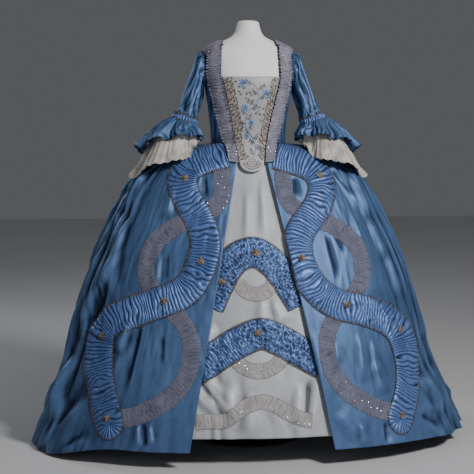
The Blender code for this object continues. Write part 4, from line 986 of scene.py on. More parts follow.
def stomacher_half(z):
    tip_height = STOMACHER_Z[0] - STOMACHER_TIP_Z
    drop = np.clip((STOMACHER_Z[0] - z) / tip_height, 0, 1)
    return np.where(z < STOMACHER_Z[0], STOMACHER_HALF[0] * np.sqrt(1 - drop**2),
                    np.interp(z, STOMACHER_Z, STOMACHER_HALF))


def build_stomacher():
    """The ivory V, with its silk embroidery laid on it."""
    z = np.concatenate([STOMACHER_TIP_Z + 0.033 * (1 - np.cos(np.radians(np.linspace(4, 90, 14)))),
                        np.linspace(0.985, NECKLINE_Z, 50)[1:]])[:, None]
    x = np.linspace(-1, 1, 31)[None, :] * stomacher_half(z)
    points = front_point(x, np.broadcast_to(z, x.shape), 0.0006 + 0.0005 * noise(x / 0.03, z / 0.04, 51))
    satin = solid_mesh("stomacher_panel", [grid(points)], SATIN, "stomacher", SILK_WALL)
    pieces = [
        solid_mesh(f"embroidery_{name}", strokes, look)
        for name, look, strokes in embroidery()
    ]


VINE_REACH, VINE_LOW, VINE_LONG, VINE_TURNS = 0.30, 0.985, 0.290, 1.6
BLOOM_HEIGHTS = (1.030, 1.072, 1.118, 1.168, 1.216, 1.254)
HIGHEST_ROSE_Z = 1.25
SPRIGS, SPRIG_LONG, CLEAR_OF_VINE = 46, 0.0070, 0.007


def stroke(places, width, rise=0.0022):
    """One stroke of satin stitch: a low rounded ribbon, tapered at both ends, on the stomacher."""
    places = np.array(places, float)
    count = 3 * len(places)
    line = refine(np.stack([places, places], axis=1), count, 2)[:, 0]
    way = unit(np.gradient(line, axis=0))
    taper = np.sin(np.pi * np.linspace(0.10, 0.90, count))[:, None] ** 0.6
    reach = 0.5 * width * taper * np.array([-1.0, -0.5, 0.5, 1.0])
    lifted = front_point(line[:, :1] - way[:, 1:] * reach, line[:, 1:] + way[:, :1] * reach, 0.0008)
    lifted[..., 1] -= rise * np.array([0.0, 0.8, 0.8, 0.0]) * taper
    return grid(lifted, flip=True)


def stitch(x, z, *steps, width):
    """A stroke through places at these steps from one place."""
    return stroke([(x + dx, z + dz) for dx, dz in steps], width)


def curl(x, z, size, turn, hand):
    """Places on a small scroll that winds inwards."""
    angle = np.radians(turn) + hand * np.linspace(0, 4.6, 8)
    radius = size * np.linspace(1.0, 0.28, 8)
    return np.stack([x + radius * np.cos(angle), z + radius * np.sin(angle)], axis=-1)


def bloom(x, z, petals, inner, outer, width, turn=0.0):
    """The petals of one small round flower."""
    strokes = []
    for k in range(petals):
        angle = 2 * math.pi * k / petals + turn
        way = np.array([math.cos(angle), math.sin(angle)])
        strokes.append(stitch(x, z, inner * way, 0.5 * (inner + outer) * way, outer * way, width=width))
    return strokes


def half_at(z):
    return float(stomacher_half(np.array(z)))


def vine_x(z):
    """The middle of the vine that winds up the stomacher."""
    return VINE_REACH * half_at(z) * math.sin(2 * math.pi * VINE_TURNS * (z - VINE_LOW) / VINE_LONG)


def sprig(hand, z, leaf):
    """One twig with its leaves, out from the vine."""
    x = vine_x(z)
    out = hand * 0.42 * half_at(z)
    leaf.append(stitch(x, z, (0, 0), (0.3 * out, 0.002), (0.55 * out, 0.011), width=0.0024))
    for step in (0.4, 0.7, 1.0):
        at = (x + step * 0.55 * out, z + 0.011 * step**2)
        leaf.append(stitch(*at, (0, 0), (hand * 0.002, 0.005), (hand * 0.005, 0.009), width=0.0040))
        leaf.append(stitch(*at, (0, 0), (hand * 0.004, -0.003), (hand * 0.008, -0.004), width=0.0034))


def side_scrolls(hand, lanes, gold, levels=34, low=0.990, high=1.270):
    """Lanes of scrolls and leaves up one edge of the stomacher."""
    for k in range(levels):
        z = low + (high - low) * (k + 0.5) / levels
        edge = half_at(z) - 0.0035
        for lane in range(lanes):
            x = hand * (edge - 0.0030 - 0.0078 * lane)
            if abs(x) < (0.54 if hand < 0 else 0.62) * edge:
                continue
            size = 0.0036 + 0.0008 * ((k + lane) % 3)
            spin = hand * (-1) ** (k + lane)
            gold.append(stroke(curl(x, z + 0.002 * lane, size, 70 * k + 130 * lane, spin), 0.0024))
            if (k + lane) % 2 == 0:
                steps = ((0, -0.004), (-hand * 0.003, 0.001), (-hand * 0.0035, 0.006))
                gold.append(stitch(x, z, *steps, width=0.0036))


def embroidery():
    """Silk on the stomacher: a winding vine with small flowers and leaves, and scrolls up both sides."""
    gold, blue, leaf, rose = [], [], [], []
    blue.append(stroke([(vine_x(z), z) for z in np.linspace(1.000, 1.256, 27)], 0.0024))
    for k, z in enumerate(np.linspace(1.012, 1.250, 15)):
        sprig(1 if k % 2 else -1, z, leaf)
    for k, z in enumerate(BLOOM_HEIGHTS):
        hand = 1 if k % 2 else -1
        x = vine_x(z) - hand * VINE_REACH * half_at(z)
        size = 0.0085 + 0.0095 * (z - 1.03) / 0.22
        blue += bloom(x, z, 8, 0.25 * size, size, 0.42 * size, 0.2 * k)
        gold += bloom(x, z, 5, 0.02 * size, 0.24 * size, 0.2 * size)
        if z < HIGHEST_ROSE_Z:
            rose += bloom(x + hand * 0.9 * size, z + 1.5 * size, 5, 0.10 * size, 0.48 * size, 0.30 * size)
    for k in range(SPRIGS):
        z = 1.004 + 0.258 * ((k * 0.618034) % 1.0)
        x = (2 * ((k * 0.754878 + 0.2) % 1.0) - 1) * 0.60 * half_at(z)
        if abs(x - vine_x(z)) < CLEAR_OF_VINE:
            continue
        for lean in (-0.7, 0.0, 0.7):
            way = SPRIG_LONG * np.array([math.cos(1.3 * k + lean), math.sin(1.3 * k + lean)])
            (leaf if k % 3 else gold).append(stitch(x, z, (0, 0), 0.5 * way, way, width=0.0027))
    side_scrolls(-1, 4, gold)
    side_scrolls(1, 3, gold)
    for ring, (count, reach_x, reach_z) in enumerate(((11, 0.030, 0.024), (8, 0.020, 0.016))):
        for k in range(count):
            turn = -180 + 180 * (k + 0.5) / count
            at = (reach_x * math.cos(math.radians(turn)), 0.984 + reach_z * math.sin(math.radians(turn)))
            gold.append(stroke(curl(*at, 0.0042 - 0.0006 * ring, turn + 90, 1), 0.0024))
    for row in range(3):
        for k in range(-2 + row // 2, 3 - row // 2):
            at = (0.0085 * k + 0.004 * (row % 2), 0.978 + 0.0085 * row)
            rose.append(stitch(*at, (-0.003, 0), (0, 0.001), (0.003, 0), width=0.0030))
            gold.append(stitch(*at, (0, -0.0035), (0.0006, 0), (0, 0.0035), width=0.0020))
    return (("gold", GOLD, gold), ("blue", BLUE_THREAD, blue), ("leaves", LEAF_THREAD, leaf),
            ("rose", ROSE_THREAD, rose))


SLEEVE_CREASES = (
    (0.020, 0.30, 0.075, 0.62, 0.009, 0.0026), (0.060, 0.20, 0.052, 0.80, 0.007, -0.0026),
    (0.250, 0.15, 0.235, 0.75, 0.008, 0.0030), (0.210, 0.35, 0.226, 0.95, 0.006, -0.0028),
    (0.185, 0.40, 0.200, 0.90, 0.007, 0.0026), (0.120, 0.30, 0.150, 0.80, 0.010, 0.0030),
    (0.010, 0.72, 0.110, 0.80, 0.008, 0.0026), (0.180, 0.86, 0.270, 0.82, 0.007, 0.0024),
)
SLEEVE_CREASE_STRENGTH = 1.5
SLEEVE_ROUND = 0.27
SLEEVE_FOLDS = Folds(0.0052, 0.045, 0.7, 0.05, 1 / 3, 61, 1.3)
SLEEVE_CRUMPLES = Folds(0.0020, 0.018, 0.8, 0.04, 1 / 6, 65, -2.4)
SLEEVE_RELIEF_LIMITS = (-0.002, 0.005)
SLEEVE_HOLLOWS = (5, 0.0022)
SLEEVE_ROWS, SLEEVE_COLUMNS = 80, 96


def sleeve_ring(row, turn, lift=0.0):
    """One ring of the sleeve. turn is 0 on top, 90 behind."""
    lean, angle = math.radians(row.lean), np.radians(turn)
    up = np.array([math.cos(lean), 0.0, math.sin(lean)])
    around = np.cos(angle)[..., None] * up * (row.half_height + lift)
    around = around + np.sin(angle)[..., None] * np.array([0.0, 1.0, 0.0]) * (row.half_depth + lift)
    return np.array([row.x, row.y, row.z]) + around


def build_sleeve(side, word):
    """One sleeve from the armhole to the elbow, with strain folds round it."""
    turn = np.arange(24) * 15.0
    armhole = body_point(
        ARMHOLE_PHI + 1.02 * ARMHOLE_HALF_PHI * np.sin(np.radians(turn)),
        ARMHOLE_Z + 1.02 * ARMHOLE_HALF_Z * np.cos(np.radians(turn)),
        GOWN_LIFT + 0.0018,
    )
    rings = np.array([armhole] + [sleeve_ring(r, turn) for r in SLEEVE])
    points = refine(rings, SLEEVE_ROWS, SLEEVE_COLUMNS, wrap=True)
    share = np.linspace(0, 1, SLEEVE_ROWS)[:, None]
    around = np.linspace(0, SLEEVE_ROUND, SLEEVE_COLUMNS, endpoint=False)[None, :]
    relief = SLEEVE_CREASE_STRENGTH * crease_relief(SLEEVE_CREASES, around + 0.004 * side, share)
    relief += folds(SLEEVE_FOLDS, around, share, side) + folds(SLEEVE_CRUMPLES, around, share, side)
    relief -= 0.0020 * np.abs(noise(around / 0.02, share * 14, 63 + side)) * ease((share - 0.45) / 0.4)
    relief *= ease(share / 0.15) * ease((1 - share) / 0.06)
    out = facing(grid_normals(points, True), points - points.mean(axis=1, keepdims=True))
    points = mirrored(points + out * np.clip(relief, *SLEEVE_RELIEF_LIMITS)[..., None], side)
    fold = hollows(relief, *SLEEVE_HOLLOWS)
    piece = silk_piece(f"sleeve_arm_{word}", points, fold, f"sleeve_{word}", True, side > 0)


def skirt_top_z(x, y):
    """The height of the gown's skirt, or of the shelf over the hips, above this place."""
    downs = np.linspace(0, 1, 60)
    half, front, back, fall = (
        smooth_column(SKIRT, "down", c, downs) for c in ("half_width", "front", "back", "fall")
    )
    depth = np.where(np.asarray(y)[..., None] < 0, front, back)
    reach = (np.abs(x)[..., None] / half) ** ROUNDNESS + (np.abs(y)[..., None] / depth) ** ROUNDNESS
    there = np.array([np.interp(-1.0, -r, fall) for r in reach.reshape(-1, len(downs))])
    return WAIST_Z - there.reshape(np.shape(x)) * (WAIST_Z - RIGHT_HEM_Z)


def lay_over_skirt(points, clear):
    """Moves points out along the skirt's slope until they clear it."""
    points = points.copy()
    step = 0.002
    for _ in range(6):
        x, y, z = points[..., 0], points[..., 1], points[..., 2]
        top = skirt_top_z(x, y)
        slope_x = (skirt_top_z(x + step, y) - skirt_top_z(x - step, y)) / (2 * step)
        slope_y = (skirt_top_z(x, y + step) - skirt_top_z(x, y - step)) / (2 * step)
        normal = np.stack([-slope_x, -slope_y, np.ones_like(x)], axis=-1)
        long = np.linalg.norm(normal, axis=-1)
        lack = np.maximum(0.0, clear - (z - top) / long)
        points += normal / long[..., None] * lack[..., None]
    return points


FLOUNCE_WAVES = 8
FLOUNCE_HOLLOWS = (4, 0.0040)
FLOUNCE_TEETH = 34
FLOUNCE_FOLDS = Folds(0.75, 12.0, 0.9, 15.0, 0.4, 75, 1.0)
HEADING_PUFF, HEADING_CREST = 11.0, 0.0062
LACE_WALL = 0.0006


def flounce_points(table, lift, wave_height, clear, seed, scallop):
    """A gathered flounce that falls from the sleeve's end, with uneven waves and a scalloped edge."""
    coarse_columns, rows, columns = 48, 30, 288
    turn = np.arange(coarse_columns) * 360 / coarse_columns
    reach = smooth_column(table, "turn", "reach", turn)
    drop = smooth_column(table, "turn", "drop", turn)
    start = sleeve_ring(SLEEVE[-1], turn, lift)
    angle = np.radians(turn)
    out = np.stack([np.cos(angle), np.sin(angle), np.zeros(coarse_columns)], axis=-1)
    coarse = []
    for share in np.linspace(0, 1, 8):
        row = start + out * (reach * share**0.85)[:, None]
        row[:, 2] -= drop * share**1.25
        coarse.append(row)
    points = np.array(coarse)
    points[1:] = lay_over_skirt(points[1:], clear)
    points = refine(points, rows, columns, wrap=True)
    share = np.linspace(0, 1, rows)[:, None]
    turn = (np.arange(columns) * 360 / columns)[None, :]
    uneven = 1 + 0.40 * np.sin(np.radians(2 * turn + 40 * seed)) * np.sin(np.radians(3 * turn + 25 * seed))
    phase = np.radians(FLOUNCE_WAVES * turn + 26 * np.sin(np.radians(2 * turn)) + 14 * share)
    wave = np.sin(phase) + 0.22 * np.sin(2 * phase + 1.1) + 0.10 * np.sin(3 * phase)
    small = 0.22 * np.sin(np.radians(23 * turn + 50 * seed + 60 * share)) * (1 - 0.5 * share)
    small = small + folds(FLOUNCE_FOLDS, turn, share, seed)
    gathers = 0.0011 * np.sin(np.radians(60 * turn)) * (1 - ease(share / 0.35))
    ripple = wave_height * share**0.75 * (uneven * wave + small) + gathers
    from_centre = points - points.mean(axis=1, keepdims=True) + np.array([0, 0, 0.03])
    normal = facing(grid_normals(points, True), from_centre)
    teeth = scallop * np.abs(np.sin(np.radians(FLOUNCE_TEETH * turn / 2))) * ease((share - 0.80) / 0.2)
    down = unit(np.gradient(points, axis=0))
    return points + normal * ripple[..., None] + down * teeth[..., None], hollows(ripple, *FLOUNCE_HOLLOWS)


def build_flounces(side, word):
    """The silk flounce with its ruched heading on the sleeve's end, and the lace one below it."""
    silk, silk_fold = flounce_points(SILK_FLOUNCE, lift=0.0017, wave_height=0.0135, clear=0.028,
                                     seed=1 + side, scallop=0.004)
    lace, lace_fold = flounce_points(LACE_FLOUNCE, lift=-0.0030, wave_height=0.0070, clear=0.0155,
                                     seed=2 + side, scallop=0.005)
    turn = (np.arange(360) * 1.0)[None, :]
    across = np.linspace(0, 1, 10)[:, None]
    upper = sleeve_ring(SLEEVE[-2], turn[0], 0.0012)
    lower = sleeve_ring(SLEEVE[-1], turn[0], 0.0030)
    band = upper + (lower - upper) * (0.45 + 0.70 * across)[..., None]
    out = unit(band - band.mean(axis=1, keepdims=True))
    phase = turn / HEADING_PUFF + 0.5 * noise(turn / 14, across * 2, 71 + side)
    puff = np.abs(np.sin(np.pi * phase)) ** 0.8 * np.sin(np.pi * (0.06 + 0.88 * across)) ** 0.6
    rise = 0.0008 + HEADING_CREST * puff * (0.75 + 0.25 * noise(turn / 9, across * 3, 73))
    band = mirrored(band + out * rise[..., None], side)
    out = mirrored(out, side)
    heading = solid_mesh(f"cuff_heading_{word}", [grid(band, True, side > 0, puff)], BLUE_RUCHED)
    flounce = silk_piece(f"silk_flounce_{word}", mirrored(silk, side), silk_fold, f"sleeve_flounce_{word}",
                         True, side > 0)
    cuff = solid_mesh(f"lace_flounce_{word}", [grid(mirrored(lace, side), True, side > 0, lace_fold)], LACE,
                      f"lace_cuff_{word}", LACE_WALL, lined=False)
    rims = [[np.concatenate([g[rim], g[rim][:1]]) for g in (band, out)] for rim in (0, -1)]
    loops = [grid(braid_line(*rim), True) for rim in rims]
    braid = solid_mesh(f"cuff_braid_{word}", loops, BRAID)


# Trims


def curve_through(points, step):
    """Places every step along a smooth curve through the points."""
    p = np.array(points, float)
    fine = refine(np.stack([p, p], axis=1), 30 * len(p), 2)[:, 0]
    along = run_of(fine)
    return line_at(np.arange(0, along[-1], step), along, fine)


def outward_at(x, z, lift, step_x, step_z):
    """Places on the gown's front, the way from each to one beside it, and the normals out of it."""
    start = front_point(x, z, lift)
    beside = front_point(x + step_x, z, lift) - start
    normal = np.cross(beside, front_point(x, z + step_z, lift) - start)
    return start, beside, -np.sign(normal[..., 1:2] + 1e-12) * unit(normal)


def band_base(tree, path, lift, half, across, step):
    """A strip's plain grid on a panel, of even width, with its outward normals and its distance along."""
    places = curve_through(path, step)
    start, _, normal = outward_at(places[:, 0], places[:, 1], lift, 0.004, -0.004)
    line = smoothed(nearest_on(tree, start), 6)
    beside = np.cross(unit(np.gradient(line, axis=0)), normal)
    seen = np.linalg.norm(beside[:, [0, 2]], axis=1, keepdims=True)
    beside = smoothed(beside * np.clip(1 / seen, 1.0, 1.30), 8)
    base = nearest_on(tree, line[:, None] + beside[:, None] * (half * across)[None, :, None])
    normal = smoothed(np.repeat(normal[:, None], len(across), 1), 10)
    out = smoothed(facing(grid_normals(base), normal), 12)
    return base, unit(out), np.arange(len(places)) * step


# Gathers wander along and across a strip. Their period and the patches' places are given strip by strip.
GATHER_WANDER = (Swell(1.2, 0.050, 1 / 0.6, 0), Swell(0.45, 0.016, 1 / 1.6, 1))
SECOND_WANDER = Swell(0.5, 0.02, 0.5, 6)
CRUMPLE_CELLS = Swell(2.1, 0.0075, 0.0085, 2)
CRUMPLE_SMALL = Swell(0.5, 0.0045, 0.0055, 7)
CRUMPLE_PATCHES = Swell(0.35, 0.16, 1.0, 3)
GATHER_HEIGHTS = Swell(0.16, 0.02, 1 / 2.2, 4)


def gather_rise(s, a, half, low, crest, period, crumple, seed):
    """The height of an unevenly gathered strip: narrow valleys across it, and patches of fine crumple."""
    phase = s / period + swells(GATHER_WANDER, s, a, seed)
    ridge = np.abs(np.sin(np.pi * phase)) ** 0.62
    second = np.abs(np.sin(np.pi * (2.2 * phase + swell(SECOND_WANDER, s, a, seed))))
    gathered = ridge * (0.80 + 0.20 * second)
    cells = np.clip(1 - np.abs(swell(CRUMPLE_CELLS, s, a * half, seed)), 0, 1)
    crumpled = 0.62 * cells + 0.38 * (0.5 + swell(CRUMPLE_SMALL, s, a * half, seed))
    mixed = np.clip(crumple + swell(CRUMPLE_PATCHES, s, 0.5, seed), 0, 0.92)
    shape = gathered * (1 - mixed) + crumpled * mixed
    fold = gathered * (1 - mixed) + crumpled**0.75 * mixed
    shape *= 1 - GATHER_HEIGHTS.height + swell(GATHER_HEIGHTS, s, a, seed)
    return low + (crest - low) * (0.10 + 0.90 * shape) * (1 - np.abs(a) ** 5), fold


BRAID_LOOP, BRAID_REACH, BRAID_RADIUS = 0.0070, 0.0033, 0.0012


def braid_line(line, out):
    """A looped braid along a line: a thin cord that runs in small loops."""
    along = run_of(line)
    loops = max(4, int(along[-1] / BRAID_LOOP))
    at = np.linspace(0.0, along[-1], loops * 9)
    turn = 2 * math.pi * loops * at / along[-1]
    size = 1 + 0.25 * noise(at / 0.011, 0.5, 81)
    up = line_at(at, along, out)
    beside = unit(np.cross(np.gradient(line_at(at, along, line), axis=0), up))
    centre = line_at(at + 0.0017 * np.sin(turn), along, line)
    centre += beside * (BRAID_REACH * size * np.cos(turn))[:, None]
    centre += up * (0.0007 + 0.0004 * np.sin(2 * turn))[:, None]
    return tube(centre, up, BRAID_RADIUS)


BAND_STEP, BAND_GATHER = 0.0016, 0.0120


def round_fan(tree, base, out, crest, seed):
    """The round end of a band: a fan of gathers beyond its last row, and its rim."""
    theta = np.radians(np.linspace(-90, 90, 61))[:, None]
    reach = np.linspace(1.0, 0.0, 11)
    centre_column = base.shape[1] // 2
    middle, right, up = base[-1, centre_column], (base[-1, -1] - base[-1, 0]) / 2, out[-1, centre_column]
    ahead = facing(np.cross(up, right), middle - base[-20, centre_column])
    fan = middle + np.sin(theta)[..., None] * reach[:, None] * right
    fan = nearest_on(tree, fan + np.cos(theta)[..., None] * reach[:, None] * ahead)
    ridge = np.abs(np.sin(9.5 * theta + 0.7 * noise(theta * 3, reach * 2, seed)))
    rise = EDGE_RISE + (crest - EDGE_RISE) * (0.25 + 0.65 * ridge**0.8 * reach**0.3) * (1 - reach**5)
    fan = fan + up * rise[..., None]
    return grid(fan, fold=ridge**0.7), (fan[:, 0], np.repeat(up[None], len(fan), 0))


def build_band(name, tree, path, lift, crest, crumple, seed, round_end, node_name):
    """A furbelow: a gathered silk strip with a looped braid on both edges."""
    across = np.linspace(-1, 1, 27 if round_end else 33)
    base, out, s = band_base(tree, path, lift, BAND_HALF, across, BAND_STEP)
    rise, fold = gather_rise(s[:, None], across, BAND_HALF, EDGE_RISE, crest, BAND_GATHER, crumple, seed)
    strip = base + out * rise[..., None]
    parts = [grid(strip, fold=fold)]
    rims = [(strip[:, 0], out[:, 0]), (strip[:, -1], out[:, -1])]
    if round_end:
        fan, rim = round_fan(tree, base, out, crest, seed)
        parts.append(fan)
        rims.append(rim)
    ruched = solid_mesh(name, parts, BLUE_RUCHED, node_name)
    loops = [grid(braid_line(*rim), True) for rim in rims]
    braid = solid_mesh(f"{name}_braid", loops, BRAID)


# A sequin's outer and inner ring, by radius and height
SEQUIN_RINGS = ((0.0018, 0.0009), (0.0004, 0.0014))
THREAD_RADIUS = 0.0006


def sequins_on(strip, out, count, seed, side=1):
    """Small six-sided sequins, scattered over a strip."""
    spots = []
    last = strip.shape[1] - 2
    turn = np.linspace(0, 2 * math.pi, 7)
    for k in range(count):
        row = int((0.02 + 0.96 * ((k * 0.618034 + 0.11 * seed) % 1.0)) * (len(strip) - 1))
        column = 1 + int(last * ((43758.5453 * math.sin(12.9898 * k + 78.233 * seed)) % 1.0))
        up, beside = out[row, column], unit(strip[row, -1] - strip[row, 0])
        around = np.outer(np.cos(turn), beside) + np.outer(np.sin(turn), np.cross(up, beside))
        rings = [strip[row, column] + up * high + size * around for size, high in SEQUIN_RINGS]
        spots.append(grid(mirrored(np.array(rings), side), flip=side < 0))
    return spots


def net_trimmings(edge_name, sequin_name, strip, out, count, seed, side=1, stride=1):
    """The dark thread on both edges of a net, and its scattered sequins."""
    lines = [(strip[::stride, k], out[::stride, k]) for k in (0, -1)]
    threads = [grid(mirrored(tube(line + up * 0.0003, up, THREAD_RADIUS), side), True) for line, up in lines]
    edge = solid_mesh(edge_name, threads, THREAD)
    spots = sequins_on(strip, out, count, seed, side)
    return [edge, solid_mesh(sequin_name, spots, SEQUIN, smooth=False)]


NET_STEP, NET_LOW, NET_CREST, NET_GATHER, NET_CRUMPLE = 0.0026, 0.0008, 0.0042, 0.0125, 0.25


def build_net(name, tree, path, lift, half, look, seed, node_name, sequins):
    """A narrow gathered net with a dark thread on its edges and a few sequins."""
    a = np.linspace(-1, 1, 11)
    base, out, s = band_base(tree, path, lift, half, a, NET_STEP)
    rise, fold = gather_rise(s[:, None], a, half, NET_LOW, NET_CREST, NET_GATHER, NET_CRUMPLE, seed)
    frill = 1 + 0.06 * noise(s[:, None] / 0.008, np.sign(a) * 3, seed + 5) * np.abs(a) ** 6
    middle = base[:, 5:6]
    strip = middle + (base - middle) * frill[..., None] + out * rise[..., None]
    net = solid_mesh(name, [grid(strip, fold=fold)], look, node_name)
    trimmings = net_trimmings(f"{name}_edge", f"{name}_sequins", strip, out, sequins, seed, stride=2)


# Rings of petals: how many, their reach, where they start and how high they rise
ROSETTE_RINGS = ((7, 0.0135, 0.0002, 0.0028), (5, 0.0080, 0.0028, 0.0030))


def build_rosette(name, tree, place, lift, height):
    """A gathered ribbon rosette: two rings of petals round a small button."""
    start, x_way, normal = outward_at(*place, lift, 0.01, 0.01)
    centre = nearest_on(tree, start[None])[0]
    beside = unit(x_way)
    up = np.cross(normal, beside)

    def rounded(turn, radius, rise):
        flat = np.cos(turn)[..., None] * beside + np.sin(turn)[..., None] * up
        return grid(centre + normal * (height + rise)[..., None] + radius[..., None] * flat, True)

    turn = np.radians(np.arange(48) * 7.5)[None, :]
    t = np.linspace(0, 1, 9)[:, None]
    parts = []
    for petals, size, base, high in ROSETTE_RINGS:
        lobes = np.abs(np.cos(petals * turn / 2))
        radius = size * (0.78 + 0.22 * lobes) * (1 - 0.86 * t)
        rise = base + high * np.sin(np.pi * (0.15 + 0.6 * t)) * (0.7 + 0.3 * lobes)
        parts.append(rounded(turn, radius, rise))
    solid_mesh(f"{name}_ribbon", parts, RIBBON, name)
    turn = np.radians(np.arange(12) * 30)[None, :]
    t = np.linspace(0, 1, 6)[:, None]
    radius = 0.0036 * np.cos(0.5 * np.pi * t * 0.98)
    knob = rounded(turn, radius, 0.0052 + 0.0030 * np.sin(0.5 * np.pi * t))
    solid_mesh(f"{name}_button", [knob], GOLD)


ROBING_ROWS, ROBING_COLUMNS, ROBING_SEQUINS = 560, 15, 90
ROBING_LOW, ROBING_CREST, ROBING_GATHER, ROBING_CRUMPLE = 0.0016, 0.0062, 0.0085, 0.40


def build_robing(side, word):
    """The gathered net beside the stomacher, over the shoulder and round the neck, with frilled edges."""
    across = np.linspace(0, 1, 5)
    rows = []
    for r in ROBING_FRONT:
        lift = 0.0020 if r.inner_z > WAIST_Z else 0.0040
        rows.append(front_point(r.inner_x + (r.outer_x - r.inner_x) * across,
                                r.inner_z + (r.outer_z - r.inner_z) * across, lift))
    for r in ROBING_NECK:
        rows.append(body_point(r.inner_phi + (r.outer_phi - r.inner_phi) * across,
                               r.inner_z + (r.outer_z - r.inner_z) * across, GOWN_LIFT + r.lift))
    base = refine(np.array(rows), ROBING_ROWS, ROBING_COLUMNS)
    from_axis = base - np.array([0.0, 0.0, 1.0]) * base[..., 2:3]
    out = smoothed(facing(grid_normals(base), from_axis), 6)
    middle = base[:, ROBING_COLUMNS // 2, None]
    s = run_of(middle[:, 0])[:, None]
    a = np.linspace(-1, 1, ROBING_COLUMNS)
    rise, fold = gather_rise(s, 0.9 * a, 0.02, ROBING_LOW, ROBING_CREST, ROBING_GATHER, ROBING_CRUMPLE,
                             91 + side)
    flutter = np.sin(2 * np.pi * s / 0.0105 + 3.5 * noise(s / 0.017, 0.5, 95)) + 0.9 * noise(s / 0.005, a, 97)
    frill = 0.04 * flutter * np.abs(a) ** 8
    lifted = 0.0022 * np.abs(a) ** 8 * (1 + flutter * np.sign(a))
    strip = middle + (base - middle) * (1.0 + frill)[..., None] + out * (rise + lifted)[..., None]
    parts = [grid(mirrored(strip, side), flip=side < 0, fold=fold)]
    net = solid_mesh(f"robing_net_{word}", parts, ROBING_NET, f"robing_{word}")
    trimmings = net_trimmings(f"robing_edge_{word}", f"robing_sequins_{word}", strip, out,
                              ROBING_SEQUINS, 5 + side, side)


# Petticoat, form and stand

SHOWN_PHI = 32.0
PETTICOAT_HOLLOWS = (4, 0.0050)
PETTICOAT_SWELLS = (Swell(0.0035, 6.0, 0.5, 101), Swell(0.0014, 2.2, 0.06, 103))
PETTICOAT_FOLDS = Folds(0.0062, 0.075, 0.8, 0.11, 0.12, 105, 2.0, 0.5, 0.09, 0.14, 107)


def petticoat_points():
    """The fine grid of the petticoat, hem first, with folds where it shows between the gown's edges."""
    in_front = np.linspace(-SHOWN_PHI, SHOWN_PHI, 151)
    phi = np.concatenate([in_front, np.linspace(SHOWN_PHI, 360 - SHOWN_PHI, 108)[1:-1]])
    hem = hem_z(np.minimum(np.abs(phi), 360 - phi), -1)
    rows = []
    for down in np.linspace(0.0, 0.32, 30):
        below = 0.0025 + 0.004 * float(ease(down / 0.1))
        z = WAIST_Z - below - skirt_fall(down) * (WAIST_Z - hem)
        rows.append((z, np.full(len(phi), down)))
    top = rows[-1][0]
    for share in np.linspace(0, 1, 150)[1:]:
        z = top + (PETTICOAT_HEM_Z - top) * share
        rows.append((z, down_of_z(z + 0.006, hem)))
    made, reliefs = [], []
    for z, down in rows:
        plain = plan_sizes(SKIRT, "down", down, -(GOWN_LIFT - 0.0025 + 0.011 * ease(down / 0.3)))
        x, y, _ = plan_point(phi, z, *plain, ROUNDNESS).T
        shown = ease((0.20 - np.abs(x)) / 0.05) * (y < 0)
        relief = swells(PETTICOAT_SWELLS, phi, z)
        relief += folds(PETTICOAT_FOLDS, x, z) * shown * ease((0.40 - z) / 0.12)
        relief = relief * (0.4 + 0.6 * ease(down)) - 0.002
        creased = (y < 0) & (np.abs(x) < 0.3)
        relief += np.where(creased, crease_relief(PETTICOAT_CREASES, x, z), 0) * (1.0 + 0.9 * shown)
        size = [p + relief * ease(down / 0.15) for p in plain]
        made.append(plan_point(phi, z, *size, ROUNDNESS))
        reliefs.append(relief)
    return np.array(made)[::-1], hollows(np.array(reliefs)[::-1], *PETTICOAT_HOLLOWS)


def build_petticoat():
    """The ivory petticoat. Its grid, without the wall, carries the trims in front."""
    points, fold = petticoat_points()
    parts = [grid(points, True, fold=fold)]
    skirt = solid_mesh("petticoat_skirt", parts, IVORY, "petticoat", SILK_WALL, lined=False)
    return tree_of(points, True)


def build_form():
    """The covered torso with its neck, and a small cap on the neck."""
    z = np.concatenate([np.linspace(FORM_BOTTOM_Z, 1.34, 44), np.linspace(1.345, 1.472, 40)])
    phi = np.arange(96) * 3.75
    rows = [body_point(phi, np.full(96, h), 0.0) for h in z]
    first = [rows[0] * np.array([k, k, 1]) for k in (0.02, 0.9)]
    last = [rows[-1] * np.array([k, k, 1]) + np.array([0, 0, 0.0008]) for k in (0.6, 0.02)]
    torso = grid(np.array([*first, *rows, *last]), True)
    solid_mesh("form_torso", [torso], FORM_COVER, "dress_form")


# Profiles of the stand, by radius and height
BASE_PROFILE = (
    (0.001, 0.0), (0.186, 0.0), (0.189, 0.001), (0.190, 0.003), (0.190, 0.0055), (0.188, 0.0074),
    (0.184, 0.008), (0.040, 0.008), (0.001, 0.008),
)
POLE_PROFILE = (
    (0.001, 0.0083), (0.034, 0.0083), (0.034, 0.013), (0.028, 0.017), (0.019, 0.024), (0.016, 0.030),
    (0.016, 0.400), (0.0185, 0.404), (0.0185, 0.440), (0.0145, 0.444), (0.0145, 0.830), (0.024, 0.836),
    (0.024, 0.8495), (0.001, 0.8495),
)


def lathe(profile, sides=72):
    """A profile turned round the middle of the stand."""
    turn = np.arange(sides) * 2 * math.pi / sides
    return grid(np.array([[(r * math.cos(t), r * math.sin(t), z) for t in turn] for r, z in profile]), True)


def build_stand():
    solid_mesh("base_plate", [lathe(BASE_PROFILE, 96)], STEEL, "stand_base")
    solid_mesh("pole_tube", [lathe(POLE_PROFILE)], STEEL, "stand_pole")


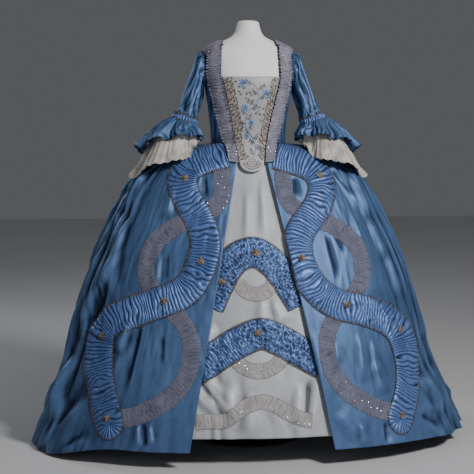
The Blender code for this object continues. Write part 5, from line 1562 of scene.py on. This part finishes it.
def build_trims(trees, under):
    paths = {"left": BLUE_BAND_LEFT, "right": BLUE_BAND_RIGHT}
    for number, (side, word) in enumerate(SIDES):
        build_net(f"skirt_net_{word}", trees[word], [(side * x, z) for x, z in NET_BAND], 0.0, NET_HALF, NET,
                  111 + number, f"net_{word}", NET_SEQUINS)
        build_band(f"furbelow_silk_{word}", trees[word], paths[word], 0.0, BAND_CREST, BAND_CRUMPLE[word],
                   121 + 7 * number, True, f"furbelow_{word}")
        for count, place in enumerate(ROSETTES[word], 1):
            build_rosette(f"rosette_{word}_{count}", trees[word], (side * place[0], place[1]), 0.0,
                          ROSETTE_HEIGHT)
    for name, path in GARLANDS.items():
        build_net(f"garland_net_{name}", under, path, UNDER_LIFT, GARLAND_HALF, IVORY_NET,
                  131 + len(name), f"garland_{name}", GARLAND_SEQUINS)
    for name, path, cut, seed in (("upper", UPPER_ARC, UPPER_ARC_CUT, 141),
                                  ("lower", LOWER_ARC, LOWER_ARC_CUT, 147)):
        build_band(f"arc_silk_{name}", under, path, UNDER_LIFT, ARC_CREST, ARC_CRUMPLE, seed, False,
                   f"arc_{name}")
    for count, place in enumerate(ROSETTES_ON_ARCS, 1):
        build_rosette(f"rosette_arc_{count}", under, place, UNDER_LIFT, ARC_ROSETTE_HEIGHT)


# Camera, light and floor


# The photo is 474 pixels wide, and its lens is 1302 of them long. The camera stands to the viewer's left.
PHOTO_PIXELS, LENS_PIXELS = 474.0, 1302.0
SENSOR_WIDTH = 36.0
CAMERA_TURN, CAMERA_PAN, CAMERA_TILT = math.radians(-6.0), math.radians(0.48), math.radians(5.8)
CAMERA_DISTANCE, CAMERA_Z = 4.6, 1.18
WORLD_COLOUR, WORLD_STRENGTH = rgb(0.80, 0.83, 0.88), 0.12
Light = namedtuple("Light", "name place target size power colour")
LIGHTS = (
    Light("key", (1.9, -3.2, 3.3), (0.05, 0.0, 0.8), 0.9, 172.0, (1.0, 0.985, 0.97)),
    Light("fill", (-2.2, -3.8, 1.6), (0.0, 0.0, 0.7), 2.4, 12.0, (0.92, 0.95, 1.0)),
    Light("rim", (-2.6, 2.2, 2.4), (0.0, 0.0, 0.9), 0.8, 22.0, (0.96, 1.0, 1.0)),
)
FLOOR_REACH = 9


def aim(thing, way):
    thing.rotation_mode = "QUATERNION"
    thing.rotation_quaternion = way.to_track_quat("-Z", "Y")


def build_camera():
    data = bpy.data.cameras.new("camera")
    data.sensor_width = SENSOR_WIDTH
    data.lens = SENSOR_WIDTH * LENS_PIXELS / PHOTO_PIXELS
    data.clip_end = 60.0
    camera = add_object("camera", data)
    bpy.context.scene.camera = camera
    camera.location = (
        CAMERA_DISTANCE * math.sin(CAMERA_TURN),
        -CAMERA_DISTANCE * math.cos(CAMERA_TURN),
        CAMERA_Z,
    )
    around, flat = CAMERA_TURN + CAMERA_PAN, math.cos(CAMERA_TILT)
    aim(camera, Vector((-math.sin(around) * flat, math.cos(around) * flat, -math.sin(CAMERA_TILT))))


def build_studio():
    world = bpy.data.worlds.new("studio")
    world.use_nodes = True
    world.node_tree.nodes["Background"].inputs[0].default_value = WORLD_COLOUR
    world.node_tree.nodes["Background"].inputs[1].default_value = WORLD_STRENGTH
    bpy.context.scene.world = world
    for light in LIGHTS:
        data = bpy.data.lights.new(light.name, "AREA")
        data.shape = "DISK"
        data.size = light.size
        data.energy = light.power
        data.color = light.colour
        made = add_object(light.name, data)
        made.location = light.place
        aim(made, Vector(light.target) - Vector(light.place))
    floor = bpy.data.meshes.new("floor")
    corners = ((-1, -1), (1, -1), (1, 1), (-1, 1))
    floor.from_pydata([(FLOOR_REACH * x, FLOOR_REACH * y, 0) for x, y in corners], [], [(0, 1, 2, 3)])
    floor.materials.append(speckled_look("pale floor", (0.60, 0.60, 0.61), (0.64, 0.64, 0.65), 1.4, 0.7,
                                         (0.3, 0.7), 3.0, None))
    add_object("floor", floor)


build_camera()
build_studio()
build_form()
build_stand()
under_tree = build_petticoat()
skirt_trees = build_skirts()
build_sack_back()
build_stomacher()
for side, word in SIDES:
    build_bodice(side, word)
    build_sleeve(side, word)
    build_flounces(side, word)
    build_robing(side, word)
build_trims(skirt_trees, under_tree)
